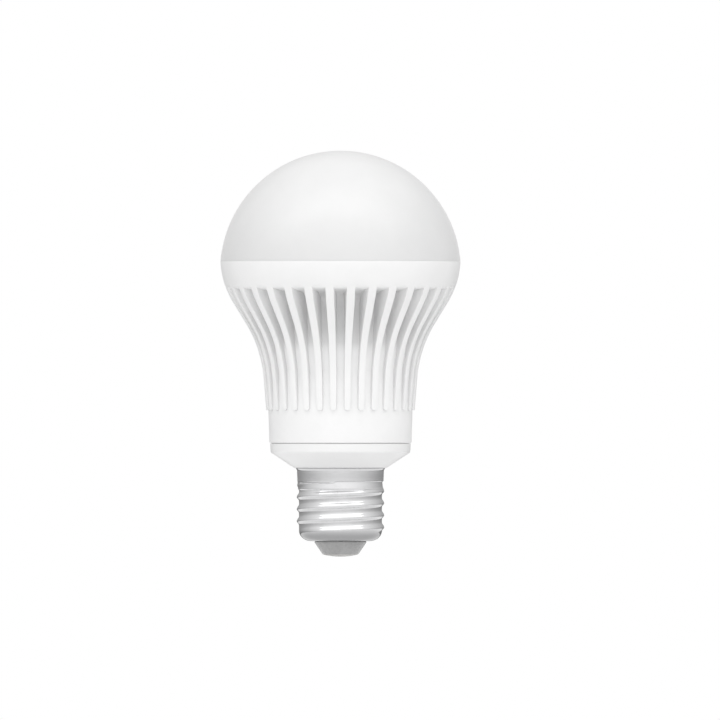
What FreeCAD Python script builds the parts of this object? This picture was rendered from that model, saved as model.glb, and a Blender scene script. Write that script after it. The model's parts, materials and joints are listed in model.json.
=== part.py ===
# Smart light bulb with an E26 screw base, as a parametric FreeCAD document, in millimetres.
# +Z runs from the base to the dome, and the origin is at the tip of the centre contact.
# The bulb is an A21 shape: a frosted dome on a finned die-cast heat sink, a plastic base
# housing that holds the driver, and a screw shell. Nothing in it moves.

import FreeCAD
import Part
import Sketcher
import math
import os
import re

SHEET = "Sizes"
FUNCTIONS = ("sin", "cos", "tan", "asin", "acos", "sqrt")

# Driving dimensions: alias, value and what it is.
SIZES = {
    "whole bulb": [
        ("overall_height", 122.0, "contact tip to the top of the dome"),
        ("dome_radius", 36.2, "outside of the dome's sphere"),
        ("seam_height", 88.95, "where the dome meets the rim"),
        ("fit_gap", 0.1, "clearance between pieces that slide together"),
    ],
    "dome": [
        ("dome_wall", 1.8, "frosted polycarbonate"),
        ("skirt_radius", 34.75, "outside of the skirt inside the rim"),
        ("skirt_wall", 1.5, ""),
        ("skirt_depth", 2.35, "below the seam"),
        ("sealant_height", 0.4, "silicone bead under the skirt"),
    ],
    "heat sink": [
        ("fin_count", 33.0, "a gap faces forward"),
        ("fin_foot_height", 44.0, "lower end of the fins"),
        ("fin_foot_radius", 22.35, ""),
        ("fin_foot_width", 1.8, ""),
        ("fin_head_height", 81.3, "inside the rim"),
        ("fin_head_width", 2.5, ""),
        ("fin_foot_round", 0.6, ""),
        ("fin_start_radius", 20.4, "inside the core's wall"),
        ("waist_height", 62.6, "where the taper and the flare would meet"),
        ("waist_radius", 23.8, ""),
        ("waist_round", 37.0, ""),
        ("shoulder_height", 82.6, "where the flare and the rim would meet"),
        ("rim_radius", 36.1, ""),
        ("rim_round", 26.0, ""),
        ("core_bottom", 34.15, "on the base housing"),
        ("core_bottom_radius", 21.36, ""),
        ("band_radius", 21.65, "at the fins' feet"),
        ("core_waist_radius", 22.1, ""),
        ("core_waist_height", 55.5, ""),
        ("core_neck_radius", 23.2, ""),
        ("core_neck_height", 62.4, ""),
        ("core_top_radius", 24.5, ""),
        ("core_top_height", 77.9, ""),
        ("core_round", 3.5, "under the rim"),
        ("core_bend", 14.0, "along the core"),
        ("rim_underside_radius", 33.4, ""),
        ("rim_underside_height", 80.5, ""),
        ("cavity_bottom_radius", 19.1, ""),
        ("cavity_top_radius", 21.4, ""),
        ("cavity_straight_height", 76.0, ""),
        ("cavity_round", 2.0, ""),
        ("deck_bottom", 81.0, ""),
        ("deck_top", 83.5, ""),
        ("deck_edge_radius", 31.6, "recess for the board"),
        ("ledge_height", 86.2, "under the dome's skirt"),
        ("ledge_radius", 34.85, ""),
    ],
    "base housing": [
        ("neck_bottom", 8.0, ""),
        ("neck_radius", 11.6, "inside the screw shell"),
        ("neck_bore", 10.2, ""),
        ("collar_bottom", 26.8, "lower edge of the cone"),
        ("collar_radius", 13.95, ""),
        ("cone_top", 31.35, ""),
        ("cone_radius", 20.98, ""),
        ("shoulder_top", 34.0, ""),
        ("shoulder_radius", 21.1, ""),
        ("groove_depth", 0.45, "shadow gap under the heat sink"),
        ("sleeve_radius", 18.9, ""),
        ("sleeve_bore", 17.7, ""),
        ("sleeve_top", 80.4, ""),
        ("funnel_bottom", 27.6, "bore widens from here"),
        ("funnel_top", 33.2, ""),
        ("post_radius", 2.6, "holds a board screw"),
        ("post_bottom", 62.0, ""),
        ("lead_notch_width", 1.8, ""),
        ("lead_notch_top", 11.0, ""),
    ],
    "screw shell and contact": [
        ("shell_bottom", 4.7, ""),
        ("shell_wall", 0.35, ""),
        ("shell_hole", 7.95, "for the insulator"),
        ("shell_corner", 2.9, ""),
        ("thread_root", 12.46, "radius"),
        ("thread_crest", 13.15, "radius"),
        ("thread_pitch", 3.629, "seven threads to the inch"),
        ("thread_start", 7.0, "height of the crest, at the left"),
        ("thread_turns", 4.25, ""),
        ("crest_half", 0.3, ""),
        ("flank_half", 1.05, ""),
        ("crest_round", 0.25, ""),
        ("shell_neck_bottom", 22.75, ""),
        ("shell_neck_radius", 12.97, ""),
        ("shell_lip_bottom", 25.7, ""),
        ("shell_lip_radius", 13.45, ""),
        ("shell_top", 26.4, ""),
        ("insulator_bottom", 0.8, ""),
        ("insulator_foot_radius", 5.4, ""),
        ("insulator_top_radius", 7.85, ""),
        ("insulator_flange_radius", 9.3, ""),
        ("insulator_flange_top", 6.6, ""),
        ("contact_radius", 5.15, ""),
        ("contact_edge", 0.62, "height of the domed face's edge"),
        ("stem_radius", 1.5, ""),
        ("stem_bore", 0.75, ""),
        ("stem_top", 7.2, ""),
        ("stem_floor", 3.0, ""),
    ],
    "light engine": [
        ("pad_radius", 30.5, ""),
        ("pad_thickness", 0.3, ""),
        ("led_board_radius", 31.2, ""),
        ("led_board_thickness", 1.6, ""),
        ("outer_ring_count", 12.0, ""),
        ("outer_ring_radius", 25.0, ""),
        ("inner_ring_count", 6.0, ""),
        ("inner_ring_radius", 19.6, ""),
        ("led_length", 3.5, ""),
        ("led_width", 2.8, ""),
        ("led_height", 0.7, ""),
        ("led_window_radius", 1.1, ""),
        ("led_window_depth", 0.45, ""),
        ("screw_count", 3.0, ""),
        ("screw_circle", 15.5, "radius"),
        ("screw_hole", 1.5, "radius"),
        ("screw_shank", 1.25, "radius"),
        ("screw_length", 14.0, ""),
        ("screw_head_radius", 2.35, ""),
        ("screw_head_height", 1.7, ""),
        ("recess_width", 0.7, ""),
        ("recess_depth", 0.9, ""),
        ("pilot_hole", 1.3, "radius"),
        ("pilot_depth", 12.0, ""),
        ("disc_thickness", 0.6, "insulation under the deck"),
        ("slot_length", 17.4, "for the radio board"),
        ("slot_width", 3.4, ""),
        ("slot_depth_place", 0.8, "its centre, along Y"),
    ],
    "driver": [
        ("board_face", -2.2, "the face that carries the tall parts"),
        ("board_thickness", 1.6, ""),
        ("board_bottom", 11.5, ""),
        ("board_step", 34.0, ""),
        ("board_top", 74.0, ""),
        ("board_narrow", 17.6, ""),
        ("board_wide", 33.6, ""),
        ("lead_radius", 0.6, "insulated wire"),
        ("lead_clear", 0.1, "above the board's face"),
        ("led_lead_place", 10.5, ""),
        ("led_lead_pad", 14.4, ""),
        ("led_lead_start", 66.0, ""),
        ("led_lead_top", 88.6, ""),
        ("led_lead_bend", 1.9, ""),
        ("lead_hole", 1.1, "radius"),
        ("live_start", 14.0, ""),
        ("live_turn", 11.0, ""),
        ("live_centre", 8.8, ""),
        ("live_bend", 2.0, ""),
        ("neutral_place", 6.0, ""),
        ("neutral_height", 9.6, ""),
        ("neutral_end", 11.95, ""),
        ("neutral_bend", 2.4, ""),
        ("solder_radius", 1.1, ""),
        ("solder_height", 0.9, ""),
    ],
    "driver parts": [
        ("bulk_radius", 5.0, ""),
        ("bulk_length", 15.5, ""),
        ("bulk_bottom", 16.6, ""),
        ("bulk_depth", 3.5, "its axis, along Y"),
        ("can_groove", 0.5, ""),
        ("can_groove_place", 2.2, "from the sealed end"),
        ("output_radius", 3.15, ""),
        ("output_length", 11.0, ""),
        ("output_across", -11.2, ""),
        ("output_up", 60.4, ""),
        ("pin_radius", 0.3, ""),
        ("standoff", 0.5, "of a part above the board"),
        ("film_width", 12.0, ""),
        ("film_depth", 9.0, ""),
        ("film_height", 5.0, ""),
        ("film_across", -7.0, ""),
        ("film_up", 38.6, ""),
        ("choke_radius", 3.9, ""),
        ("choke_length", 8.6, ""),
        ("choke_across", 8.6, ""),
        ("choke_up", 38.6, ""),
        ("choke_flange", 1.3, ""),
        ("choke_core", 1.9, "radius"),
        ("choke_coil", 3.3, "radius"),
        ("fuse_radius", 1.7, ""),
        ("fuse_length", 8.0, ""),
        ("fuse_across", 10.4, ""),
        ("fuse_up", 64.0, ""),
        ("fuse_gap", 0.9, ""),
        ("varistor_radius", 3.5, ""),
        ("varistor_thickness", 3.2, ""),
        ("varistor_across", 12.4, ""),
        ("varistor_up", 54.0, ""),
        ("varistor_rise", 1.4, ""),
        ("core_across", 16.0, "transformer"),
        ("core_up", 14.0, ""),
        ("core_deep", 4.6, ""),
        ("core_leg", 3.2, ""),
        ("core_yoke", 2.4, ""),
        ("core_middle_leg", 4.2, ""),
        ("transformer_place", 50.4, "height of its middle"),
        ("transformer_depth", 5.6, "its middle, along Y"),
        ("bobbin_wall", 0.6, ""),
        ("bobbin_flange", 0.9, ""),
        ("winding_deep", 10.4, ""),
        ("winding_across", 9.4, ""),
        ("foot_height", 2.0, "of the bobbin's pin rails"),
        ("rectifier_across", 4.8, ""),
        ("rectifier_up", 4.0, ""),
        ("rectifier_deep", 1.5, ""),
        ("rectifier_place", 24.0, ""),
        ("chip_across", 4.9, "driver controller"),
        ("chip_up", 3.9, ""),
        ("chip_deep", 1.5, ""),
        ("chip_place", 46.0, ""),
        ("gull_width", 0.4, ""),
        ("gull_reach", 1.0, ""),
        ("gull_thickness", 0.2, ""),
        ("transistor_across", 6.5, ""),
        ("transistor_up", 6.1, ""),
        ("transistor_deep", 2.3, ""),
        ("transistor_place", 58.0, ""),
        ("transistor_tab", 1.1, ""),
        ("small_part_length", 2.0, ""),
        ("small_part_width", 1.25, ""),
        ("small_part_height", 0.6, ""),
    ],
    "radio": [
        ("radio_face", 1.2, "the face that carries the shield and the antenna"),
        ("radio_thickness", 0.8, ""),
        ("radio_across", 16.4, ""),
        ("radio_bottom", 69.0, ""),
        ("radio_top", 99.5, ""),
        ("header_across", 10.16, ""),
        ("header_up", 2.3, ""),
        ("header_place", 71.4, ""),
        ("header_pitch", 2.54, ""),
        ("header_pins", 4.0, ""),
        ("header_pin_width", 0.64, ""),
        ("header_pin_over", 1.0, "past each board"),
        ("shield_across", 9.6, ""),
        ("shield_up", 6.4, ""),
        ("shield_deep", 1.5, ""),
        ("shield_wall", 0.2, ""),
        ("shield_place", 76.8, ""),
        ("radio_chip_side", 4.0, ""),
        ("radio_chip_deep", 0.9, ""),
        ("logic_chip_side", 5.0, ""),
        ("logic_chip_deep", 0.9, ""),
        ("crystal_across", 3.2, ""),
        ("crystal_up", 2.5, ""),
        ("crystal_deep", 0.8, ""),
        ("crystal_place", 89.3, ""),
        ("trace_width", 0.8, "antenna"),
        ("trace_thickness", 0.1, ""),
        ("trace_bottom", 88.4, ""),
        ("trace_top", 98.6, ""),
        ("trace_step", 2.0, ""),
        ("trace_fingers", 6.0, ""),
    ],
}


def fill_sheet(doc):
    sheet = doc.addObject("Spreadsheet::Sheet", SHEET)
    row = 1
    for section, entries in SIZES.items():
        sheet.set(f"A{row}", section)
        row += 1
        for alias, number, note in entries:
            sheet.set(f"A{row}", alias)
            sheet.set(f"B{row}", str(number))
            sheet.set(f"C{row}", note)
            sheet.setAlias(f"B{row}", alias)
            row += 1
    doc.recompute()
    return sheet


doc = FreeCAD.newDocument("SmartBulb")
sheet = fill_sheet(doc)
pieces = []


# ---------------------------------------------------------------- helpers


def formula(text):
    """Turns "rim_radius - 2" into an expression on the sheet's cells."""
    return re.sub(
        r"[a-z][a-z_]*[a-z]",
        lambda word: word[0] if word[0] in FUNCTIONS else f"{SHEET}.{word[0]}",
        str(text),
    )


def size(text):
    return float(sheet.evalExpression(formula(text)))


def bind(thing, **properties):
    for name, text in properties.items():
        thing.setExpression(name, formula(text))


def place(thing, across="0", depth="0", up="0"):
    for axis, text in zip("xyz", (across, depth, up)):
        thing.setExpression(f"Placement.Base.{axis}", formula(text))


def keep(thing, label):
    """Marks a finished sub-part, which is written under this label."""
    thing.Label = label
    pieces.append(thing)
    return thing


def origin_plane(body, role):
    return next(f for f in body.Origin.OriginFeatures if f.Role == role)


def sketch_on(body, name, role="XZ_Plane", offset=None):
    """A sketch on one of the body's own planes, offset is (across, up, out) in the sketch's axes."""
    sketch = body.newObject("Sketcher::SketchObject", name)
    sketch.AttachmentSupport = [(origin_plane(body, role), "")]
    sketch.MapMode = "FlatFace"
    for axis, text in zip("xyz", offset or ()):
        sketch.setExpression(f"AttachmentOffset.Base.{axis}", formula(text))
    return sketch


def pin_point(sketch, geometry, vertex, across=None, up=None):
    for kind, text in (("DistanceX", across), ("DistanceY", up)):
        if text is not None:
            index = sketch.addConstraint(Sketcher.Constraint(kind, geometry, vertex, size(text)))
            sketch.setExpression(f"Constraints[{index}]", formula(text))


def outline(sketch, corners, closed=True):
    """Straight edges through the corners, each (across, up) or (across, up, radius of its round)."""
    points = [FreeCAD.Vector(size(c[0]), size(c[1]), 0) for c in corners]
    rounds = [size(c[2]) if len(c) > 2 else 0.0 for c in corners]
    count = len(corners)
    starts, ends, centres = [], [], []
    for i, point in enumerate(points):
        if not rounds[i]:
            starts.append(point)
            ends.append(point)
            centres.append(None)
            continue
        before = (points[i - 1] - point).normalize()
        after = (points[(i + 1) % count] - point).normalize()
        half = before.getAngle(after) / 2
        run = rounds[i] / math.tan(half)
        starts.append(point + before * run)
        ends.append(point + after * run)
        centres.append(point + (before + after).normalize() * (rounds[i] / math.sin(half)))
    edges = []
    for i in range(count if closed else count - 1):
        line = Part.LineSegment(ends[i], starts[(i + 1) % count])
        edges.append(sketch.addGeometry(line, False))
    for i in range(count):
        before = edges[i - 1] if closed or i else None
        after = edges[i] if i < len(edges) else None
        if not rounds[i]:
            if before is not None and after is not None:
                sketch.addConstraint(Sketcher.Constraint("Coincident", before, 2, after, 1))
            line, vertex = (after, 1) if after is not None else (before, 2)
            pin_point(sketch, line, vertex, corners[i][0], corners[i][1])
            continue
        round_corner(sketch, corners[i], points[i], starts[i], ends[i], centres[i], before, after)
    return sketch


def round_corner(sketch, corner, point, start, end, centre, before, after):
    """A tangent arc between two lines, whose lines still run to the corner's own point."""
    middle = centre + (point - centre).normalize() * (start - centre).Length
    arc = sketch.addGeometry(Part.Arc(start, middle, end), False)
    first = sketch.getPoint(arc, 1)
    turned = (first - start).Length > (first - end).Length
    near, far = (2, 1) if turned else (1, 2)
    apex = sketch.addGeometry(Part.Point(point), True)
    pin_point(sketch, apex, 1, corner[0], corner[1])
    sketch.addConstraint(Sketcher.Constraint("Tangent", before, 2, arc, near))
    sketch.addConstraint(Sketcher.Constraint("Tangent", after, 1, arc, far))
    sketch.addConstraint(Sketcher.Constraint("PointOnObject", apex, 1, before))
    sketch.addConstraint(Sketcher.Constraint("PointOnObject", apex, 1, after))
    index = sketch.addConstraint(Sketcher.Constraint("Radius", arc, size(corner[2])))
    sketch.setExpression(f"Constraints[{index}]", formula(corner[2]))


def circles(sketch, entries):
    """Circles, each (across, up, radius)."""
    for across, up, radius in entries:
        middle = FreeCAD.Vector(size(across), size(up), 0)
        ring = sketch.addGeometry(Part.Circle(middle, FreeCAD.Vector(0, 0, 1), size(radius)), False)
        pin_point(sketch, ring, 3, across, up)
        index = sketch.addConstraint(Sketcher.Constraint("Radius", ring, size(radius)))
        sketch.setExpression(f"Constraints[{index}]", formula(radius))
    return sketch


def new_body(name):
    return doc.addObject("PartDesign::Body", name)


def turn(body, sketch, kind="Revolution"):
    """A full turn of the profile about Z, added or, with kind Groove, cut."""
    feature = body.newObject(f"PartDesign::{kind}", f"{sketch.Name}{kind}")
    feature.Profile = sketch
    feature.ReferenceAxis = (sketch, ["V_Axis"])
    feature.Angle = 360
    doc.recompute()
    return feature


def turned(name, corners):
    body = new_body(name)
    turn(body, outline(sketch_on(body, f"{name}Profile"), corners))
    return body


def extrude(body, sketch, length=None, kind="Pad", backwards=False):
    """A pad or a pocket, of this length or right through."""
    feature = body.newObject(f"PartDesign::{kind}", f"{sketch.Name}{kind}")
    feature.Profile = sketch
    feature.Reversed = backwards
    if length is None:
        feature.Type = "ThroughAll"
    else:
        bind(feature, Length=length)
    before = 0 if body.Shape.isNull() else body.Shape.Volume
    doc.recompute()
    change = body.Shape.Volume - before
    if (change <= 0) if kind == "Pad" else (change >= 0):
        raise RuntimeError(f"{feature.Name} changed nothing")
    return feature


def polar(body, features, count):
    """Repeats features evenly round Z."""
    pattern = body.newObject("PartDesign::PolarPattern", f"{features[0].Name}Pattern")
    pattern.Originals = features
    pattern.Axis = (origin_plane(body, "Z_Axis"), [""])
    pattern.Angle = 360
    bind(pattern, Occurrences=count)
    body.Tip = pattern
    doc.recompute()
    return pattern


def ring_places(count, radius, first="0"):
    """(across, depth) formulas of points evenly round Z."""
    number = round(size(count))
    angles = [f"({first} + {i} * 360 / {count})" for i in range(number)]
    return [(f"{radius} * cos({a})", f"{radius} * sin({a})") for a in angles]


def block(name, across, depth, up, middle):
    """A box of these sizes with its centre at middle."""
    box = doc.addObject("Part::Box", name)
    bind(box, Length=across, Width=depth, Height=up)
    place(box, *(f"({m}) - ({s}) / 2" for m, s in zip(middle, (across, depth, up))))
    return box


def rod(name, radius, length, base, along="Z"):
    """A cylinder from base, along +X, +Y or +Z."""
    turns = {"X": ((0, 1, 0), 90), "Y": ((1, 0, 0), -90), "Z": ((0, 0, 1), 0)}
    axis, angle = turns[along]
    cylinder = doc.addObject("Part::Cylinder", name)
    cylinder.Placement.Rotation = FreeCAD.Rotation(FreeCAD.Vector(*axis), angle)
    bind(cylinder, Radius=radius, Height=length)
    place(cylinder, *base)
    return cylinder


def ball(name, radius, middle):
    sphere = doc.addObject("Part::Sphere", name)
    bind(sphere, Radius=radius)
    place(sphere, *middle)
    return sphere


def join(name, shapes):
    fused = doc.addObject("Part::MultiFuse", name)
    fused.Shapes = shapes
    return fused


def cut(name, base, *tools):
    result = doc.addObject("Part::Cut", name)
    result.Base = base
    result.Tool = tools[0] if len(tools) == 1 else join(f"{name}Tools", list(tools))
    return result


def round_rims(name, base, radius):
    """Rounds both circular edges of a cylinder."""
    doc.recompute()
    fillet = doc.addObject("Part::Fillet", name)
    fillet.Base = base
    rims = [i + 1 for i, edge in enumerate(base.Shape.Edges) if not isinstance(edge.Curve, Part.Line)]
    fillet.Edges = [(i, radius, radius) for i in rims]
    return fillet


def group(name, shapes):
    """Separate solids that share one node."""
    compound = doc.addObject("Part::Compound", name)
    compound.Links = shapes
    return compound


def wire_run(name, role, offset, start, route):
    """An insulated wire along a route in one plane, which starts straight up or down."""
    body = new_body(name)
    path = outline(sketch_on(body, f"{name}Route", role, offset), route, closed=False)
    section = circles(sketch_on(body, f"{name}Section", "XY_Plane", start), [("0", "0", "lead_radius")])
    pipe = body.newObject("PartDesign::AdditivePipe", f"{name}Pipe")
    pipe.Profile = section
    pipe.Spine = path
    doc.recompute()
    return body


# ---------------------------------------------------------------- shells and structure


def diffuser_dome():
    body = new_body("Dome")
    sketch = sketch_on(body, "DomeProfile")
    centre_up = "overall_height - dome_radius"
    inner = "dome_radius - dome_wall"
    middle = FreeCAD.Vector(0, size(centre_up), 0)
    seam = size("seam_height")
    skirt_in = "skirt_radius - skirt_wall"
    skirt_end = "seam_height - skirt_depth"

    def sphere_arc(radius_text, foot):
        radius = size(radius_text)
        low = math.asin((foot - middle.y) / radius)
        circle = Part.Circle(middle, FreeCAD.Vector(0, 0, 1), radius)
        arc = sketch.addGeometry(Part.ArcOfCircle(circle, low, math.pi / 2), False)
        pin_point(sketch, arc, 3, "0", centre_up)
        index = sketch.addConstraint(Sketcher.Constraint("Radius", arc, radius))
        sketch.setExpression(f"Constraints[{index}]", formula(radius_text))
        pin_point(sketch, arc, 2, across="0")
        return arc

    def line(a, b):
        ends = [FreeCAD.Vector(size(p[0]), size(p[1]), 0) for p in (a, b)]
        return sketch.addGeometry(Part.LineSegment(*ends), False)

    outer_foot = f"sqrt(dome_radius ^ 2 - (seam_height - ({centre_up})) ^ 2)"
    inner_foot_up = f"{centre_up} + sqrt(({inner}) ^ 2 - ({skirt_in}) ^ 2)"
    outer = sphere_arc("dome_radius", seam)
    inside = sphere_arc(inner, size(inner_foot_up))
    corners = [
        (outer_foot, "seam_height"),
        ("skirt_radius", "seam_height"),
        ("skirt_radius", skirt_end),
        (skirt_in, skirt_end),
        (skirt_in, inner_foot_up),
    ]
    lines = [line(corners[i], corners[i + 1]) for i in range(4)]
    top = line(("0", f"{centre_up} + {inner}"), ("0", "overall_height"))

    def meet(a, b):
        sketch.addConstraint(Sketcher.Constraint("Coincident", *a, *b))

    meet((outer, 1), (lines[0], 1))
    for i in range(3):
        meet((lines[i], 2), (lines[i + 1], 1))
    meet((lines[3], 2), (inside, 1))
    meet((inside, 2), (top, 1))
    meet((top, 2), (outer, 2))
    pin_point(sketch, lines[0], 1, up="seam_height")
    for i in (1, 2, 3):
        pin_point(sketch, lines[i], 1, *corners[i])
    pin_point(sketch, lines[3], 2, across=skirt_in)
    turn(body, sketch)
    return keep(body, "diffuser_dome")


def dome_sealant():
    inner = "skirt_radius - skirt_wall"
    top = "ledge_height + sealant_height"
    corners = [
        (inner, "ledge_height"),
        ("skirt_radius", "ledge_height"),
        ("skirt_radius", top),
        (inner, top),
    ]
    return keep(turned("Sealant", corners), "dome_sealant")


def heat_sink():
    over = "rim_radius + 3"
    body = turned(
        "HeatSink",
        [
            ("0", "core_bottom"),
            ("core_bottom_radius", "core_bottom"),
            ("band_radius", "fin_foot_height + 0.2"),
            ("core_waist_radius", "core_waist_height", "core_bend"),
            ("core_neck_radius", "core_neck_height", "core_bend"),
            ("core_top_radius", "core_top_height", "core_round"),
            ("rim_underside_radius", "rim_underside_height"),
            (over, "rim_underside_height"),
            (over, "seam_height"),
            ("ledge_radius", "seam_height"),
            ("ledge_radius", "ledge_height"),
            ("deck_edge_radius", "ledge_height"),
            ("deck_edge_radius", "deck_top"),
            ("0", "deck_top"),
        ],
    )
    # One fin, as a wedge that is wider towards the rim, and its copies.
    half_turn = "180 / fin_count"
    fin = sketch_on(
        body,
        "Fin",
        offset=(f"fin_start_radius * sin({half_turn})", "0", f"fin_start_radius * cos({half_turn})"),
    )
    fin.AttachmentOffset.Rotation = FreeCAD.Rotation(FreeCAD.Vector(0, 1, 0), size(half_turn))
    outline(
        fin,
        [
            ("-fin_foot_width / 2", "fin_foot_height", "fin_foot_round"),
            ("fin_foot_width / 2", "fin_foot_height", "fin_foot_round"),
            ("fin_head_width / 2", "fin_head_height"),
            ("-fin_head_width / 2", "fin_head_height"),
        ],
    )
    fin_pad = extrude(body, fin, f"{over} - fin_start_radius")
    polar(body, [fin_pad], "fin_count")
    # The outside of the fins and the rim is one flared surface.
    outside = outline(
        sketch_on(body, "Outside"),
        [
            ("fin_foot_radius - 0.12", "fin_foot_height - 1.4"),
            ("waist_radius", "waist_height", "waist_round"),
            ("rim_radius", "shoulder_height", "rim_round"),
            ("rim_radius", "seam_height + 3"),
            (f"{over} + 1", "seam_height + 3"),
            (f"{over} + 1", "fin_foot_height - 1.4"),
        ],
    )
    turn(body, outside, "Groove")
    cavity = outline(
        sketch_on(body, "Cavity"),
        [
            ("0", "core_bottom - 1"),
            ("cavity_bottom_radius", "core_bottom - 1"),
            ("cavity_top_radius", "cavity_straight_height"),
            ("cavity_top_radius", "deck_bottom", "cavity_round"),
            ("0", "deck_bottom"),
        ],
    )
    turn(body, cavity, "Groove")
    deck_holes(body, "DeckHoles", "screw_hole", "lead_hole", "slot_length", "slot_width")
    return keep(body, "heat_sink")


def deck_holes(body, name, screw_radius, wire_radius, length, width):
    """Holes for the screws and the two LED leads, and the slot for the radio board."""
    sketch = sketch_on(body, name, "XY_Plane")
    lead_depth = "board_face + lead_radius + lead_clear"
    holes = [(x, y, screw_radius) for x, y in ring_places("screw_count", "screw_circle", "90")]
    holes += [(f"{side} * led_lead_place", lead_depth, wire_radius) for side in (-1, 1)]
    circles(sketch, holes)
    corners = [(-1, -1), (1, -1), (1, 1), (-1, 1)]
    outline(
        sketch,
        [(f"{a} * ({length}) / 2", f"slot_depth_place + {b} * ({width}) / 2") for a, b in corners],
    )
    extrude(body, sketch, kind="Pocket", backwards=True)


def base_housing():
    spigot = "shoulder_radius - groove_depth"
    body = turned(
        "Housing",
        [
            ("neck_bore", "neck_bottom"),
            ("neck_radius", "neck_bottom"),
            ("neck_radius", "collar_bottom"),
            ("collar_radius", "collar_bottom"),
            ("cone_radius", "cone_top", "0.5"),
            ("shoulder_radius", "shoulder_top"),
            (spigot, "shoulder_top"),
            (spigot, "core_bottom"),
            ("sleeve_radius", "core_bottom"),
            ("sleeve_radius", "sleeve_top"),
            ("sleeve_bore", "sleeve_top"),
            ("sleeve_bore", "funnel_top"),
            ("neck_bore", "funnel_bottom"),
        ],
    )
    post = circles(
        sketch_on(body, "Post", "XY_Plane", ("0", "screw_circle", "post_bottom")),
        [("0", "0", "post_radius")],
    )
    post_pad = extrude(body, post, "sleeve_top - post_bottom")
    polar(body, [post_pad], "screw_count")
    pilots = circles(
        sketch_on(body, "Pilots", "XY_Plane", ("0", "0", "sleeve_top")),
        [(x, y, "pilot_hole") for x, y in ring_places("screw_count", "screw_circle", "90")],
    )
    extrude(body, pilots, "pilot_depth", "Pocket")
    notch = sketch_on(body, "LeadNotch", "YZ_Plane", ("board_face + lead_radius + lead_clear", "0", "0"))
    outline(
        notch,
        [
            ("-lead_notch_width / 2", "neck_bottom - 1"),
            ("lead_notch_width / 2", "neck_bottom - 1"),
            ("lead_notch_width / 2", "lead_notch_top", "lead_notch_width / 2.5"),
            ("-lead_notch_width / 2", "lead_notch_top", "lead_notch_width / 2.5"),
        ],
    )
    extrude(body, notch, kind="Pocket", backwards=True)
    return keep(body, "base_housing")


def screw_shell():
    wall = "shell_wall"
    body = turned(
        "Shell",
        [
            ("shell_hole", "shell_bottom"),
            ("thread_root", "shell_bottom", "shell_corner"),
            ("thread_root", "shell_neck_bottom - 0.6"),
            ("shell_neck_radius", "shell_neck_bottom"),
            ("shell_neck_radius", "shell_lip_bottom"),
            ("shell_lip_radius", "shell_top"),
            (f"shell_lip_radius - {wall}", "shell_top"),
            (f"shell_neck_radius - {wall}", "shell_lip_bottom + 0.1"),
            (f"shell_neck_radius - {wall}", "shell_neck_bottom + 0.05"),
            (f"thread_root - {wall}", "shell_neck_bottom - 0.5"),
            (f"thread_root - {wall}", f"shell_bottom + {wall}", f"shell_corner - {wall}"),
            ("shell_hole", f"shell_bottom + {wall}"),
        ],
    )

    def rib(name, inward, kind):
        """The rolled thread, outside as a rib and inside as a groove."""
        foot = f"-(thread_root - 0.15 - {inward})"
        crest = f"-(thread_crest - {inward})"
        profile = outline(
            sketch_on(body, name, offset=("0", "thread_start", "0")),
            [
                (foot, f"-(flank_half - {inward} / 4)"),
                (foot, f"flank_half - {inward} / 4"),
                (crest, f"crest_half - {inward} / 8", "crest_round"),
                (crest, f"-(crest_half - {inward} / 8)", "crest_round"),
            ],
        )
        helix = body.newObject(f"PartDesign::{kind}Helix", f"{name}Helix")
        helix.Profile = profile
        helix.ReferenceAxis = (profile, ["V_Axis"])
        helix.Mode = "pitch-turns-angle"
        bind(helix, Pitch="thread_pitch", Turns="thread_turns")
        doc.recompute()

    rib("Thread", "0", "Additive")
    rib("ThreadInside", wall, "Subtractive")
    return keep(body, "screw_shell")


def base_insulator():
    corners = [
        ("stem_radius + fit_gap", "insulator_bottom"),
        ("insulator_foot_radius", "insulator_bottom"),
        ("insulator_top_radius", "shell_bottom - 0.1"),
        ("insulator_top_radius", "shell_bottom + shell_wall"),
        ("insulator_flange_radius", "shell_bottom + shell_wall"),
        ("insulator_flange_radius", "insulator_flange_top"),
        ("stem_radius + fit_gap", "insulator_flange_top"),
    ]
    return keep(turned("Insulator", corners), "base_insulator")


def centre_contact():
    body = new_body("Contact")
    sketch = sketch_on(body, "ContactProfile")
    edge = FreeCAD.Vector(size("contact_radius"), size("contact_edge"), 0)
    tip = FreeCAD.Vector(0, 0, 0)
    bulge = (edge.x**2 + edge.y**2) / (2 * edge.y)
    sweep = math.asin(edge.x / bulge)
    face = Part.Circle(FreeCAD.Vector(0, bulge, 0), FreeCAD.Vector(0, 0, 1), bulge)
    arc = sketch.addGeometry(Part.ArcOfCircle(face, -math.pi / 2, -math.pi / 2 + sweep), False)
    pin_point(sketch, arc, 1, "0", "0")
    pin_point(sketch, arc, 2, "contact_radius", "contact_edge")
    pin_point(sketch, arc, 3, across="0")
    corners = [
        ("contact_radius", "contact_edge"),
        ("contact_radius", "insulator_bottom"),
        ("stem_radius", "insulator_bottom"),
        ("stem_radius", "stem_top"),
        ("stem_bore", "stem_top"),
        ("stem_bore", "stem_floor"),
        ("0", "stem_floor"),
    ]
    points = [FreeCAD.Vector(size(x), size(z), 0) for x, z in corners] + [tip]
    lines = [
        sketch.addGeometry(Part.LineSegment(points[i], points[i + 1]), False)
        for i in range(len(corners))
    ]
    sketch.addConstraint(Sketcher.Constraint("Coincident", arc, 2, lines[0], 1))
    for i in range(1, len(corners)):
        sketch.addConstraint(Sketcher.Constraint("Coincident", lines[i - 1], 2, lines[i], 1))
        pin_point(sketch, lines[i], 1, *corners[i])
    sketch.addConstraint(Sketcher.Constraint("Coincident", lines[-1], 2, arc, 1))
    turn(body, sketch)
    return keep(body, "centre_contact")


# ---------------------------------------------------------------- light engine


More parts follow.
